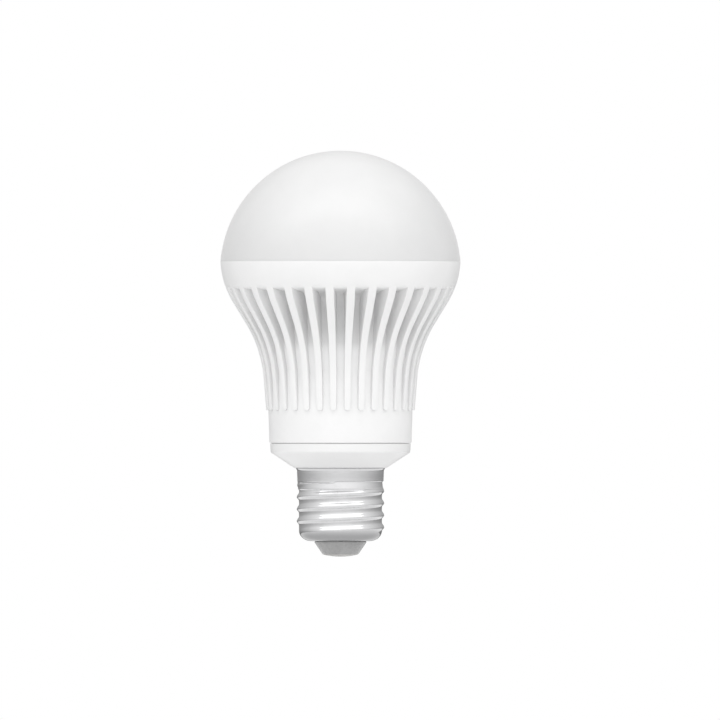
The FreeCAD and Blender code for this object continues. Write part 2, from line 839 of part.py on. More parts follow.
def disc_with_holes(name, label, radius, bottom, thickness, hole, wire, length, width):
    body = new_body(name)
    face = circles(sketch_on(body, f"{name}Face", "XY_Plane", ("0", "0", bottom)), [("0", "0", radius)])
    extrude(body, face, thickness)
    deck_holes(body, f"{name}Holes", hole, wire, length, width)
    return keep(body, label)


def light_engine():
    disc_with_holes(
        "Disc", "insulation_disc", "sleeve_radius", "sleeve_top", "disc_thickness",
        "screw_hole", "lead_hole", "slot_length - 0.4", "slot_width - 0.4",
    )
    disc_with_holes(
        "Pad", "thermal_pad", "pad_radius", "deck_top", "pad_thickness",
        "screw_hole + 0.3", "lead_hole + 0.3", "slot_length + 0.8", "slot_width + 0.8",
    )
    disc_with_holes(
        "LedBoard", "led_board", "led_board_radius", "deck_top + pad_thickness",
        "led_board_thickness", "screw_hole", "lead_hole", "slot_length - 0.2", "slot_width - 0.2",
    )
    leds()
    board_screws()


def leds():
    """White packages in two rings, each with a phosphor window that fills its cup."""
    bottom = "deck_top + pad_thickness + led_board_thickness"
    window_bottom = f"{bottom} + led_height - led_window_depth"
    packages, windows = [], []
    for ring in ("outer", "inner"):
        places = ring_places(f"{ring}_ring_count", f"{ring}_ring_radius", "15")
        step = 360 / size(f"{ring}_ring_count")
        for i, (x, y) in enumerate(places):
            tag = f"{ring.capitalize()}{i}"
            case_middle = ("0", "0", "led_height / 2")
            case = block(f"Case{tag}", "led_length", "led_width", "led_height", case_middle)
            cup_base = ("0", "0", "led_height - led_window_depth")
            cup = rod(f"Cup{tag}", "led_window_radius", "led_height", cup_base)
            package = cut(f"Package{tag}", case, cup)
            package.Placement.Rotation = FreeCAD.Rotation(FreeCAD.Vector(0, 0, 1), 15 + i * step)
            place(package, x, y, bottom)
            packages.append(package)
            window_base = (x, y, window_bottom)
            windows.append(rod(f"Window{tag}", "led_window_radius", "led_window_depth", window_base))
    keep(group("Packages", packages), "led_packages")
    keep(group("Windows", windows), "led_phosphors")


def board_screws():
    seat = "deck_top + pad_thickness + led_board_thickness"
    screws = []
    for i, (x, y) in enumerate(ring_places("screw_count", "screw_circle", "90")):
        shank = rod(f"Shank{i}", "screw_shank", "screw_length", (x, y, f"{seat} - screw_length"))
        head = rod(f"Head{i}", "screw_head_radius", "screw_head_height", (x, y, seat))
        blank = join(f"Blank{i}", [shank, head])
        top = f"{seat} + screw_head_height - recess_depth / 2"
        arms = [
            block(f"RecessA{i}", "screw_head_radius * 1.2", "recess_width", "recess_depth", (x, y, top)),
            block(f"RecessB{i}", "recess_width", "screw_head_radius * 1.2", "recess_depth", (x, y, top)),
        ]
        screws.append(cut(f"Screw{i}", blank, *arms))
    keep(group("Screws", screws), "board_screws")


# ---------------------------------------------------------------- driver


def driver_board():
    body = new_body("DriverBoard")
    sketch = sketch_on(body, "DriverOutline", offset=("0", "0", "-board_face"))
    narrow, wide = "board_narrow / 2", "board_wide / 2"
    outline(
        sketch,
        [
            (f"-{narrow}", "board_bottom", "1"),
            (narrow, "board_bottom", "1"),
            (narrow, "board_step", "1"),
            (wide, "board_step", "1.5"),
            (wide, "board_top", "1"),
            (f"-{wide}", "board_top", "1"),
            (f"-{wide}", "board_step", "1.5"),
            (f"-{narrow}", "board_step", "1"),
        ],
    )
    extrude(body, sketch, "board_thickness")
    return body


def electrolytic(name, label, radius, length, along, base):
    """A can with the crimped groove of its sealed end and a scored vent at the other."""
    can = rod(f"{name}Can", radius, length, base, along)
    ring = doc.addObject("Part::Torus", f"{name}Groove")
    bind(ring, Radius1=f"{radius} + can_groove / 2", Radius2="can_groove")
    across, depth, up = base
    vent_depth = "can_groove / 2"
    if along == "Y":
        ring.Placement.Rotation = FreeCAD.Rotation(FreeCAD.Vector(1, 0, 0), -90)
        place(ring, across, f"{depth} + can_groove_place", up)
        end = (across, f"{depth} + {length} - {vent_depth} / 2", up)
        vents = [
            block(f"{name}VentA", f"{radius} * 1.3", vent_depth, "can_groove / 2", end),
            block(f"{name}VentB", "can_groove / 2", vent_depth, f"{radius} * 1.3", end),
        ]
    else:
        place(ring, across, depth, f"{up} + {length} - can_groove_place")
        end = (across, depth, f"{up} + {vent_depth} / 2")
        vents = [
            block(f"{name}VentA", f"{radius} * 1.3", "can_groove / 2", vent_depth, end),
            block(f"{name}VentB", "can_groove / 2", f"{radius} * 1.3", vent_depth, end),
        ]
    return keep(cut(name, can, ring, *vents), label)


def tall_parts():
    """The parts on the front face of the board, which stand along +Y."""
    seat = "board_face + standoff"
    electrolytic(
        "Bulk", "bulk_capacitor", "bulk_radius", "bulk_length", "Z", ("0", "bulk_depth", "bulk_bottom")
    )
    electrolytic(
        "Output", "output_capacitor", "output_radius", "output_length", "Y",
        ("output_across", seat, "output_up"),
    )
    film = block(
        "FilmBlock", "film_width", "film_depth", "film_height",
        ("film_across", f"{seat} + film_depth / 2", "film_up"),
    )
    rounded = doc.addObject("Part::Fillet", "Film")
    rounded.Base = film
    doc.recompute()
    rounded.Edges = [(i + 1, 0.5, 0.5) for i in range(len(film.Shape.Edges))]
    keep(rounded, "film_capacitor")
    flanges = [
        rod("ChokeFoot", "choke_radius", "choke_flange", ("choke_across", seat, "choke_up"), "Y"),
        rod("ChokeLeg", "choke_core", "choke_length", ("choke_across", seat, "choke_up"), "Y"),
        rod(
            "ChokeHead", "choke_radius", "choke_flange",
            ("choke_across", f"{seat} + choke_length - choke_flange", "choke_up"), "Y",
        ),
    ]
    keep(join("ChokeCore", flanges), "choke_core")
    coil_base = ("choke_across", f"{seat} + choke_flange", "choke_up")
    coil = rod("ChokeCoil", "choke_coil", "choke_length - 2 * choke_flange", coil_base, "Y")
    hole = rod("ChokeHole", "choke_core", "choke_length", coil_base, "Y")
    keep(cut("ChokeWinding", coil, hole), "choke_winding")
    fuse_depth = "board_face + fuse_radius + fuse_gap"
    fuse_base = ("fuse_across - fuse_length / 2", fuse_depth, "fuse_up")
    resistor = rod("FuseBody", "fuse_radius", "fuse_length", fuse_base, "X")
    keep(round_rims("Fuse", resistor, 0.6), "fuse_resistor")
    disc = rod(
        "VaristorDisc", "varistor_radius", "varistor_thickness",
        (
            "varistor_across - varistor_thickness / 2",
            "board_face + varistor_rise + varistor_radius",
            "varistor_up",
        ),
        "X",
    )
    coated = round_rims("VaristorCoat", disc, 1.1)
    keep(cut("Varistor", coated, doc.Pins), "surge_varistor")


def transformer():
    middle = ("0", "transformer_depth", "transformer_place")
    frame = block("CoreFrame", "core_across", "core_deep", "core_up", middle)
    window_width = "(core_across - 2 * core_leg - core_middle_leg) / 2"
    window_up = "core_up - 2 * core_yoke"
    shift = f"(core_middle_leg + {window_width}) / 2"
    windows = [
        block(
            f"CoreWindow{side}", window_width, "core_deep + 2", window_up,
            (f"{sign} * {shift}", "transformer_depth", "transformer_place"),
        )
        for side, sign in (("Left", -1), ("Right", 1))
    ]
    keep(cut("Core", frame, *windows), "transformer_core")

    # The bobbin's tube runs round the middle leg, with a flange at each yoke and two pin rails.
    gap = "fit_gap"
    tube_across = f"core_middle_leg + 2 * {gap} + 2 * bobbin_wall"
    tube_deep = f"core_deep + 2 * {gap} + 2 * bobbin_wall"
    inside_up = f"{window_up} - 2 * {gap}"
    tube = block("BobbinTube", tube_across, tube_deep, inside_up, middle)
    flanges = [
        block(
            f"BobbinFlange{name}", "winding_across", "winding_deep", "bobbin_flange",
            ("0", "transformer_depth", f"transformer_place + {sign} * ({inside_up} - bobbin_flange) / 2"),
        )
        for name, sign in (("Low", -1), ("High", 1))
    ]
    rail_deep = "transformer_depth - winding_deep / 2 - board_face"
    rails = [
        block(
            f"BobbinRail{name}", "winding_across", rail_deep, "foot_height",
            (
                "0",
                f"board_face + ({rail_deep}) / 2",
                f"transformer_place + {sign} * ({inside_up} - foot_height) / 2",
            ),
        )
        for name, sign in (("Low", -1), ("High", 1))
    ]
    leg_hole = block(
        "BobbinHole", f"core_middle_leg + 2 * {gap}", f"core_deep + 2 * {gap}", "core_up + 2", middle
    )
    keep(cut("Bobbin", join("BobbinBlank", [tube, *flanges, *rails]), leg_hole), "transformer_bobbin")
    coil = block(
        "CoilBlock", "winding_across - 0.4", "winding_deep - 0.4", f"{inside_up} - 2 * bobbin_flange", middle
    )
    hole = block("CoilHole", tube_across, tube_deep, "core_up + 2", middle)
    keep(cut("Winding", coil, hole), "transformer_winding")


def gull_leads(name, part, pitch, rows, x):
    """Flat leads out of the top and bottom of a package on the back face of the board."""
    z, up, deep = f"{part}_place", f"{part}_up", f"{part}_deep"
    back = "board_face - board_thickness"
    legs = []
    for side in (-1, 1):
        for row in range(rows):
            along = f"{x} + {(row - (rows - 1) / 2) * pitch}"
            out = f"{z} + {side} * ({up} / 2 + gull_reach / 2)"
            foot = block(
                f"{name}Foot{side + 1}{row}", "gull_width", "gull_thickness", "gull_reach",
                (along, f"{back} - gull_thickness / 2", out),
            )
            riser = block(
                f"{name}Riser{side + 1}{row}", "gull_width", f"{deep} / 2", "gull_thickness",
                (along, f"{back} - {deep} / 4", f"{z} + {side} * ({up} / 2 + gull_thickness / 2)"),
            )
            legs.append(join(f"{name}Leg{side + 1}{row}", [foot, riser]))
    return legs


def back_parts():
    """The surface-mount parts on the board's back face."""
    back = "board_face - board_thickness"

    def package(name, label, part, x):
        middle = (x, f"{back} - {part}_deep / 2", f"{part}_place")
        return keep(block(name, f"{part}_across", f"{part}_deep", f"{part}_up", middle), label)

    package("Rectifier", "bridge_rectifier", "rectifier", "0")
    package("Controller", "driver_chip", "chip", "-6")
    package("Switch", "switching_transistor", "transistor", "5")
    legs = gull_leads("Rectifier", "rectifier", 2.6, 2, "0")
    legs += gull_leads("Controller", "chip", 1.27, 4, "-6")
    tab = block(
        "SwitchTab", "transistor_across * 0.8", "gull_thickness * 2", "transistor_tab",
        ("5", f"{back} - gull_thickness", "transistor_place + transistor_up / 2 + transistor_tab / 2"),
    )
    pins = [
        block(
            f"SwitchPin{side + 1}", "0.8", "gull_thickness * 2", "transistor_tab",
            (f"5 + {side} * 2.3", f"{back} - gull_thickness",
             "transistor_place - transistor_up / 2 - transistor_tab / 2"),
        )
        for side in (-1, 1)
    ]
    keep(group("ChipLegs", [*legs, tab, *pins]), "chip_legs")
    spots = [
        ("-12", "42"), ("-12", "46"), ("-12", "50"), ("2", "42"), ("6", "42"), ("10", "42"),
        ("-3", "62"), ("-7", "62"), ("-11", "62"), ("12", "50"), ("12", "54"), ("-4", "31"), ("4", "31"),
    ]
    chips = [
        block(
            f"SmallPart{i}", "small_part_width", "small_part_height", "small_part_length",
            (x, f"{back} - small_part_height / 2", z),
        )
        for i, (x, z) in enumerate(spots)
    ]
    keep(group("SmallParts", chips), "chip_components")


def component_pins():
    """Tinned pins of the tall parts, through the board to just past its back."""
    past = "board_face - board_thickness - 0.8"
    through = "board_thickness + 0.8 + standoff"
    pairs = {
        "Output": ("output_across", "output_up", 1.25),
        "Film": ("film_across", "film_up", 5.0),
        "Choke": ("choke_across", "choke_up", 2.5),
    }
    pins = []
    for name, (x, z, spread) in pairs.items():
        for side in (-1, 1):
            spot = (f"{x} + {side * spread}", past, z)
            pins.append(rod(f"{name}Pin{side + 1}", "pin_radius", through, spot, "Y"))
    for side in (-1, 1):
        # The fuse resistor's pins leave its ends and turn down to the board.
        reach = f"fuse_across + {side} * (fuse_length / 2 + 1)"
        depth = "board_face + fuse_radius + fuse_gap"
        flat_start = f"fuse_across + {side} * fuse_length / 2 + {0 if side > 0 else -1}"
        flat = rod(f"FuseFlat{side + 1}", "pin_radius", "1", (flat_start, depth, "fuse_up"), "X")
        down_base = (reach, past, "fuse_up")
        down = rod(f"FuseDown{side + 1}", "pin_radius", f"{depth} - ({past})", down_base, "Y")
        elbow = ball(f"FuseElbow{side + 1}", "pin_radius", (reach, depth, "fuse_up"))
        pins.append(join(f"FusePin{side + 1}", [flat, down, elbow]))
        spread = f"varistor_up + {side * 2.5}"
        chord = "varistor_radius - sqrt(varistor_radius ^ 2 - 2.5 ^ 2)"
        length = f"board_thickness + 0.8 + varistor_rise + {chord} + 0.2"
        foot = ("varistor_across", past, spread)
        pins.append(rod(f"VaristorPin{side + 1}", "pin_radius", length, foot, "Y"))
        # The bulk capacitor lies down: its pins leave the sealed end and turn to the board.
        top = "bulk_bottom + bulk_length"
        x = f"{side * 2.5}"
        bend_up = f"{top} + 1.2"
        rise = rod(f"BulkRise{side + 1}", "pin_radius", "1.2", (x, "bulk_depth", top))
        back_base = (x, past, bend_up)
        back = rod(f"BulkBack{side + 1}", "pin_radius", f"bulk_depth - ({past})", back_base, "Y")
        bend = ball(f"BulkElbow{side + 1}", "pin_radius", (x, "bulk_depth", bend_up))
        pins.append(join(f"BulkPin{side + 1}", [rise, back, bend]))
    return pins


# ---------------------------------------------------------------- radio


def radio():
    back = "radio_face - radio_thickness"
    middle_up = "(radio_top + radio_bottom) / 2"
    board = block(
        "RadioBlock", "radio_across", "radio_thickness", "radio_top - radio_bottom",
        ("0", "radio_face - radio_thickness / 2", middle_up),
    )
    spacer_deep = f"{back} - board_face"
    spacer = block(
        "HeaderBlock", "header_across", spacer_deep, "header_up",
        ("0", f"board_face + ({spacer_deep}) / 2", "header_place"),
    )
    number = round(size("header_pins"))
    columns = [f"{i - (number - 1) / 2} * header_pitch" for i in range(number)]
    pin_length = "board_thickness + radio_face - board_face + 2 * header_pin_over"
    start = "board_face - board_thickness - header_pin_over"

    def square_pins(tag, side):
        return [
            block(
                f"{tag}{i}", side, pin_length, side,
                (x, f"{start} + ({pin_length}) / 2", "header_place"),
            )
            for i, x in enumerate(columns)
        ]

    keep(cut("Header", spacer, *square_pins("HeaderHole", "header_pin_width")), "radio_header")
    keep(group("HeaderPins", square_pins("HeaderPin", "header_pin_width")), "header_pins")

    keep(cut("RadioBoard", board, *square_pins("RadioHole", "header_pin_width")), "radio_board")

    shield = block(
        "ShieldBlock", "shield_across", "shield_deep", "shield_up",
        ("0", "radio_face + shield_deep / 2", "shield_place"),
    )
    hollow = block(
        "ShieldHollow", "shield_across - 2 * shield_wall", "shield_deep - shield_wall",
        "shield_up - 2 * shield_wall",
        ("0", "radio_face + (shield_deep - shield_wall) / 2", "shield_place"),
    )
    keep(cut("Shield", shield, hollow), "radio_shield")
    chip = ("0", "radio_face + radio_chip_deep / 2", "shield_place")
    keep(block("RadioChip", "radio_chip_side", "radio_chip_deep", "radio_chip_side", chip), "radio_chip")
    logic = ("0", f"{back} - logic_chip_deep / 2", "shield_place + 1")
    keep(block("LogicChip", "logic_chip_side", "logic_chip_deep", "logic_chip_side", logic), "control_chip")
    quartz = ("5.4", f"{back} - crystal_deep / 2", "shield_place + 1")
    keep(block("Quartz", "crystal_across", "crystal_deep", "crystal_up", quartz), "radio_crystal")
    antenna()


def antenna():
    """A printed meander near the top of the radio board, clear of the metal below it."""
    depth = "radio_face + trace_thickness / 2"
    fingers = round(size("trace_fingers"))
    first = f"-({fingers} - 1) / 2 * trace_step"
    bars = []
    for i in range(fingers):
        x = f"{first} + {i} * trace_step"
        bars.append(
            block(
                f"TraceBar{i}", "trace_width", "trace_thickness", "trace_top - trace_bottom",
                (x, depth, "(trace_top + trace_bottom) / 2"),
            )
        )
        if i < fingers - 1:
            end = "trace_top - trace_width / 2" if i % 2 else "trace_bottom + trace_width / 2"
            bars.append(
                block(
                    f"TraceLink{i}", "trace_step + trace_width", "trace_thickness", "trace_width",
                    (f"{x} + trace_step / 2", depth, end),
                )
            )
    keep(join("Antenna", bars), "radio_antenna")


# ---------------------------------------------------------------- wires and solder


def leads():
    depth = "board_face + lead_radius + lead_clear"
    board_top = "deck_top + pad_thickness + led_board_thickness"
    for sign, label in ((-1, "led_lead_positive"), (1, "led_lead_negative")):
        x = f"{sign} * led_lead_place"
        end = f"{sign} * led_lead_pad"
        route = [
            (x, "led_lead_start"),
            (x, "led_lead_top", "led_lead_bend"),
            (end, "led_lead_top", "led_lead_bend"),
            (end, f"{board_top} + 0.05"),
        ]
        body = wire_run(
            f"LedLead{sign + 1}", "XZ_Plane", ("0", "0", f"-({depth})"), (x, depth, "led_lead_start"), route
        )
        keep(body, label)
    live = wire_run(
        "LiveLead", "YZ_Plane", ("0", "0", "0"), ("0", depth, "live_start"),
        [
            (depth, "live_start"),
            (depth, "live_turn", "live_bend"),
            ("0", "live_centre", "live_bend"),
            ("0", "stem_floor + 0.2"),
        ],
    )
    keep(live, "live_lead")
    neutral = wire_run(
        "NeutralLead", "XZ_Plane", ("0", "0", f"-({depth})"), ("neutral_place", depth, "live_start"),
        [
            ("neutral_place", "live_start"),
            ("neutral_place", "neutral_height", "neutral_bend"),
            ("neutral_end", "neutral_height"),
        ],
    )
    keep(neutral, "neutral_lead")


def lead_solder():
    """A cone of solder over the end of each lead: on the driver board, above or below the
    insulated end, and on the LED board, round it."""
    depth = "board_face + lead_radius + lead_clear"
    board_top = "deck_top + pad_thickness + led_board_thickness"
    blobs = []
    spots = [
        ("-led_lead_place", "led_lead_start - 1.2"),
        ("led_lead_place", "led_lead_start - 1.2"),
        ("0", "live_start + 1.2"),
        ("neutral_place", "live_start + 1.2"),
    ]
    for i, (x, z) in enumerate(spots):
        blob = doc.addObject("Part::Cone", f"Solder{i}")
        blob.Placement.Rotation = FreeCAD.Rotation(FreeCAD.Vector(1, 0, 0), -90)
        bind(blob, Radius1="solder_radius", Radius2="solder_radius / 2", Height="solder_height")
        place(blob, x, "board_face", z)
        blobs.append(blob)
    for side in (-1, 1):
        cone = doc.addObject("Part::Cone", f"PadSolder{side + 1}")
        bind(cone, Radius1="solder_radius", Radius2="lead_radius + 0.1", Height="solder_height")
        place(cone, f"{side} * led_lead_pad", depth, board_top)
        hole = rod(
            f"PadHole{side + 1}", "lead_radius", "solder_height + 1",
            (f"{side} * led_lead_pad", depth, f"{board_top} + 0.05"),
        )
        blobs.append(cut(f"PadBlob{side + 1}", cone, hole))
    keep(group("Solder", blobs), "lead_solder")


# ---------------------------------------------------------------- build, check and write


def build():
    diffuser_dome()
    dome_sealant()
    heat_sink()
    base_housing()
    screw_shell()
    base_insulator()
    centre_contact()
    light_engine()
    keep(group("Pins", component_pins()), "component_pins")
    tall_parts()
    transformer()
    back_parts()
    radio()
    leads()
    lead_solder()
    # The driver board is drilled for every pin that goes through it.
    keep(cut("DrilledBoard", driver_board(), doc.Pins, doc.HeaderPins), "driver_board")


def check_and_write():
    doc.recompute()
    for thing in doc.Objects:
        if "Invalid" in thing.State or "Error" in thing.State:
            raise RuntimeError(f"{thing.Name} ({thing.Label}) failed: {thing.State}")
    os.makedirs("parts", exist_ok=True)
    for old in os.listdir("parts"):
        if old.endswith(".step"):
            os.remove(os.path.join("parts", old))
    for piece in pieces:
        shape = piece.Shape
        if shape.isNull() or not shape.isValid() or not shape.Solids:
            raise RuntimeError(f"{piece.Label} has no valid solid")
        shape.exportStep(os.path.join("parts", f"{piece.Label}.step"))
        print(f"{piece.Label}: {len(shape.Solids)} solids, {shape.Volume:.1f} mm3")


build()
check_and_write()
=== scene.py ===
import json
import math
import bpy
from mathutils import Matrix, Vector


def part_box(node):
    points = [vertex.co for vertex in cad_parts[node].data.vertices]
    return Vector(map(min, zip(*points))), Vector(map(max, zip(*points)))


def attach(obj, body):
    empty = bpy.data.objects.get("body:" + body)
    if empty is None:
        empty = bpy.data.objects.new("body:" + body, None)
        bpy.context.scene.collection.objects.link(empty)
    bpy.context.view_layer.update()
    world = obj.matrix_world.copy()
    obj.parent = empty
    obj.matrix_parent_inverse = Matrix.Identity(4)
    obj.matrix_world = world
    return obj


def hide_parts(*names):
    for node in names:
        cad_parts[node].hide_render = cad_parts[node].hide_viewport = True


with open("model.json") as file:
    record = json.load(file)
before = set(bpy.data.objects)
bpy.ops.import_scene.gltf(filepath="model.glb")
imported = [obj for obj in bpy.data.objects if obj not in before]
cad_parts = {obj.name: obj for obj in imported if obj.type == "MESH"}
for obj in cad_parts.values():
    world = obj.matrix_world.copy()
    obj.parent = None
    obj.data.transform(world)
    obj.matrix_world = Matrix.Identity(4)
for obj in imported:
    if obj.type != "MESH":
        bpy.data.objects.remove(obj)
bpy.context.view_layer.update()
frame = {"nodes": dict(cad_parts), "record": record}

from types import SimpleNamespace
import bmesh
import bpy
from mathutils import Vector

mm = 0.001
# points closer than this are the same point
sameSpot = 2e-6


# Small tools for the modelling.

def deselectAll():
    if bpy.context.mode != "OBJECT":
        bpy.ops.object.mode_set(mode="OBJECT")
    bpy.ops.object.select_all(action="DESELECT")


def pick(kind, test):
    # selects what passes the test in the piece being edited: kind is VERT, EDGE or FACE
    mesh = bmesh.from_edit_mesh(bpy.context.object.data)
    bpy.ops.mesh.select_mode(type=kind)
    bpy.ops.mesh.select_all(action="DESELECT")
    for item in {"VERT": mesh.verts, "EDGE": mesh.edges, "FACE": mesh.faces}[kind]:
        if test(item):
            item.select_set(True)
    mesh.select_flush_mode()
    bmesh.update_edit_mesh(bpy.context.object.data)


def drawProfile(name, points, turn=0.0):
    # a chain of edges through (radius, height) points in mm, standing in the plane at this angle round Z
    deselectAll()
    bpy.ops.mesh.primitive_plane_add(size=mm, location=(0, 0, 0))
    piece = bpy.context.object
    piece.name = piece.data.name = name
    bpy.ops.object.mode_set(mode="EDIT")
    bpy.ops.mesh.select_mode(type="VERT")
    bpy.ops.mesh.select_all(action="SELECT")
    bpy.ops.mesh.merge(type="CENTER")
    out = Vector((math.cos(turn), math.sin(turn), 0))
    spots = [(out * r + Vector((0, 0, z))) * mm for r, z in points]
    bpy.ops.transform.translate(value=spots[0])
    for before, after in zip(spots, spots[1:]):
        bpy.ops.mesh.extrude_region_move(TRANSFORM_OT_translate={"value": after - before})
    return piece


def roundCorners(corners, segments=6):
    # bevels the profile's corners: each is (radius, height, length cut from each side)
    for r, z, setback in corners:
        pick("VERT", lambda v: (Vector((v.co.xy.length, v.co.z)) - Vector((r, z)) * mm).length < sameSpot / 2)
        bpy.ops.mesh.bevel(offset=setback * mm, segments=segments, affect="VERTICES")


def spinProfile(steps=128, angle=math.tau):
    bpy.ops.mesh.select_all(action="SELECT")
    bpy.ops.mesh.spin(steps=steps, angle=-angle, center=(0, 0, 0), axis=(0, 0, 1))


def closeMesh():
    bpy.ops.mesh.select_all(action="SELECT")
    bpy.ops.mesh.remove_doubles(threshold=sameSpot)
    bpy.ops.mesh.normals_make_consistent(inside=False)


def takePiece(piece):
    deselectAll()
    bpy.context.view_layer.objects.active = piece
    piece.select_set(True)


def applyModifier(piece, kind, **settings):
    takePiece(piece)
    bpy.ops.object.modifier_add(type=kind)
    modifier = piece.modifiers[-1]
    for key, value in settings.items():
        setattr(modifier, key, value)
    bpy.ops.object.modifier_apply(modifier=modifier.name)


def smooth(piece, angle=35):
    takePiece(piece)
    bpy.ops.object.shade_smooth_by_angle(angle=math.radians(angle))


def turnedPiece(name, points, corners=(), steps=128, segments=6):
    piece = drawProfile(name, points)
    roundCorners(corners, segments)
    spinProfile(steps)
    closeMesh()
    smooth(piece)
    return piece


def finishPiece(piece, slot, *nodes):
    deselectAll()
    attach(piece, "root")
    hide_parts(*nodes)
    print(piece.name, len(piece.data.polygons), "faces")


def addRod(radius, start, end, vertices=32):
    deselectAll()
    a, b = Vector(start) * mm, Vector(end) * mm
    bpy.ops.mesh.primitive_cylinder_add(
        vertices=vertices, radius=radius * mm, depth=(b - a).length, location=(a + b) / 2,
        rotation=(b - a).to_track_quat("Z", "Y").to_euler())
    bpy.ops.object.transform_apply(location=True, rotation=True, scale=True)
    return bpy.context.object


def addBlock(size, middle):
    deselectAll()
    bpy.ops.mesh.primitive_cube_add(size=1, location=Vector(middle) * mm, scale=Vector(size) * mm)
    bpy.ops.object.transform_apply(location=True, rotation=True, scale=True)
    return bpy.context.object


def combine(piece, tools, how):
    # adds or cuts several simple shapes at once
    deselectAll()
    for tool in tools:
        tool.select_set(True)
    bpy.context.view_layer.objects.active = tools[0]
    if len(tools) > 1:
        bpy.ops.object.join()
    tool = tools[0]
    applyModifier(piece, "BOOLEAN", operation=how, object=tool, solver="EXACT")
    deselectAll()
    tool.select_set(True)
    bpy.ops.object.delete()


# The dome: most of a sphere, in opal polycarbonate, with a skirt that drops inside the rim.

dome = {
    "radius": 36.2,
    "top": 122.0,
    "seam": 88.8,
    "skirtRadius": 34.75,
    "skirtBottom": 86.6,
    "wall": 1.5,
    "edgeRound": 0.08,
    "sharpAngle": 0.9,
}


def makeDome():
    deselectAll()
    centre = dome["top"] - dome["radius"]
    bpy.ops.mesh.primitive_uv_sphere_add(
        segments=128, ring_count=72, radius=dome["radius"] * mm, location=(0, 0, centre * mm))
    piece = bpy.context.object
    piece.name = piece.data.name = "diffuserDome"
    bpy.ops.object.transform_apply(location=True, rotation=False, scale=False)
    bpy.ops.object.mode_set(mode="EDIT")
    bpy.ops.mesh.select_all(action="SELECT")
    bpy.ops.mesh.bisect(
        plane_co=(0, 0, dome["seam"] * mm), plane_no=(0, 0, 1), clear_inner=True, use_fill=False)
    # the skirt goes in at the seam and down
    rim = math.sqrt(dome["radius"] ** 2 - (dome["seam"] - centre) ** 2)
    pick("EDGE", lambda e: e.is_boundary)
    bpy.ops.mesh.extrude_region_move()
    inward = dome["skirtRadius"] / rim
    bpy.ops.transform.resize(value=(inward, inward, 1), center_override=(0, 0, dome["seam"] * mm))
    drop = (dome["skirtBottom"] - dome["seam"]) * mm
    bpy.ops.mesh.extrude_region_move(TRANSFORM_OT_translate={"value": (0, 0, drop)})
    applyModifier(piece, "SOLIDIFY", thickness=dome["wall"] * mm, offset=-1, use_even_offset=True)
    takePiece(piece)
    bpy.ops.object.mode_set(mode="EDIT")
    # the sharp edge that shows at the seam
    pick("EDGE", lambda e: abs(e.calc_face_angle(0)) > dome["sharpAngle"]
         and all(v.co.xy.length > rim * mm - sameSpot for v in e.verts))
    bpy.ops.mesh.bevel(offset=dome["edgeRound"] * mm, segments=3, affect="EDGES")
    closeMesh()
    smooth(piece)
    finishPiece(piece, "diffuser", "diffuser_dome")
    return piece


# The heat sink: one aluminium casting, a core with fins that flare into a rim.

sink = {
    "bottom": 34.18,
    "bottomRadius": 21.36,
    "bottomRound": 0.3,
    "bandTop": 44.0,
    "bandRadius": 21.65,
    "coreWaist": (21.9, 55.5),
    "coreNeck": (23.2, 62.4),
    "coreTop": (24.5, 76.3),
    "coreSteps": 23,
    "archDrop": 1.2,
    "archRadius": 4.6,
    "archSteps": 6,
    "archEase": 0.1,
    "underRim": (33.2, 80.45),
    "underSteps": 5,
    "rimEdge": 80.9,
    "rimEdgeEase": [(-0.35, -0.12), (0.0, 0.1)],
    "rimRows": (82.0, 83.0, 84.0, 85.0, 86.0, 87.0, 88.0),
    "footRadius": 22.35,
    "waist": (23.8, 62.6),
    "waistRound": 37.0,
    "shoulder": (36.1, 82.6),
    "shoulderRound": 26.0,
    "seam": 88.8,
    "seamRound": 0.12,
    "fins": 33,
    "finAngle": 2.1,
    "finWidths": [(44.0, 1.8), (53.0, 1.9), (65.0, 2.05), (71.0, 2.3), (80.9, 2.5)],
    "fanStart": 70.0,
    "footRows": (0.08, 0.25, 0.5, 0.85),
    "footLean": 0.05,
    "finFootRound": 0.9,
    "footLift": 0.06,
    "footThinnest": 0.02,
    "finEdgeRound": 0.28,
    "finEdgeAngle": 0.45,
    "finEdgeMargins": (0.05, 0.3),
    "rootSpread": 0.03,
    "recess": 34.85,
    "ledge": 86.2,
    "deckEdge": 31.6,
    "deckTop": 83.5,
    "deckBottom": 81.0,
    "cavityTop": (21.4, 76.0),
    "cavityRound": 2.0,
    "cavityBottom": 19.1,
}


def between(table, at):
    # straight-line reading of a table of (place, value)
    for (a, x), (b, y) in zip(table, table[1:]):
        if at <= b:
            return x + (y - x) * max(0.0, at - a) / (b - a)
    return table[-1][1]


def flare(z):
    # outside of the fins and the rim: taper, concave arc, straight flare, convex arc
    (waistR, waistZ), (rimR, shoulderZ) = sink["waist"], sink["shoulder"]
    taper = (waistR - sink["footRadius"]) / (waistZ - sink["bandTop"])
    slope = (rimR - waistR) / (shoulderZ - waistZ)
    low, high = math.atan(taper), math.atan(slope)
    reach = sink["waistRound"] * math.tan((high - low) / 2)
    startZ, endZ = waistZ - reach * math.cos(low), waistZ + reach * math.cos(high)
    rimReach = sink["shoulderRound"] * math.tan(high / 2)
    rimStart = shoulderZ - rimReach * math.cos(high)
    if z <= startZ:
        return waistR + taper * (z - waistZ)
    if z <= endZ:
        centreR = waistR - reach * math.sin(low) + sink["waistRound"] * math.cos(low)
        centreZ = startZ - sink["waistRound"] * math.sin(low)
        return centreR - math.sqrt(sink["waistRound"] ** 2 - (z - centreZ) ** 2)
    if z <= rimStart:
        return waistR + slope * (z - waistZ)
    top = shoulderZ + rimReach
    return rimR - sink["shoulderRound"] + math.sqrt(sink["shoulderRound"] ** 2 - (min(z, top) - top) ** 2)


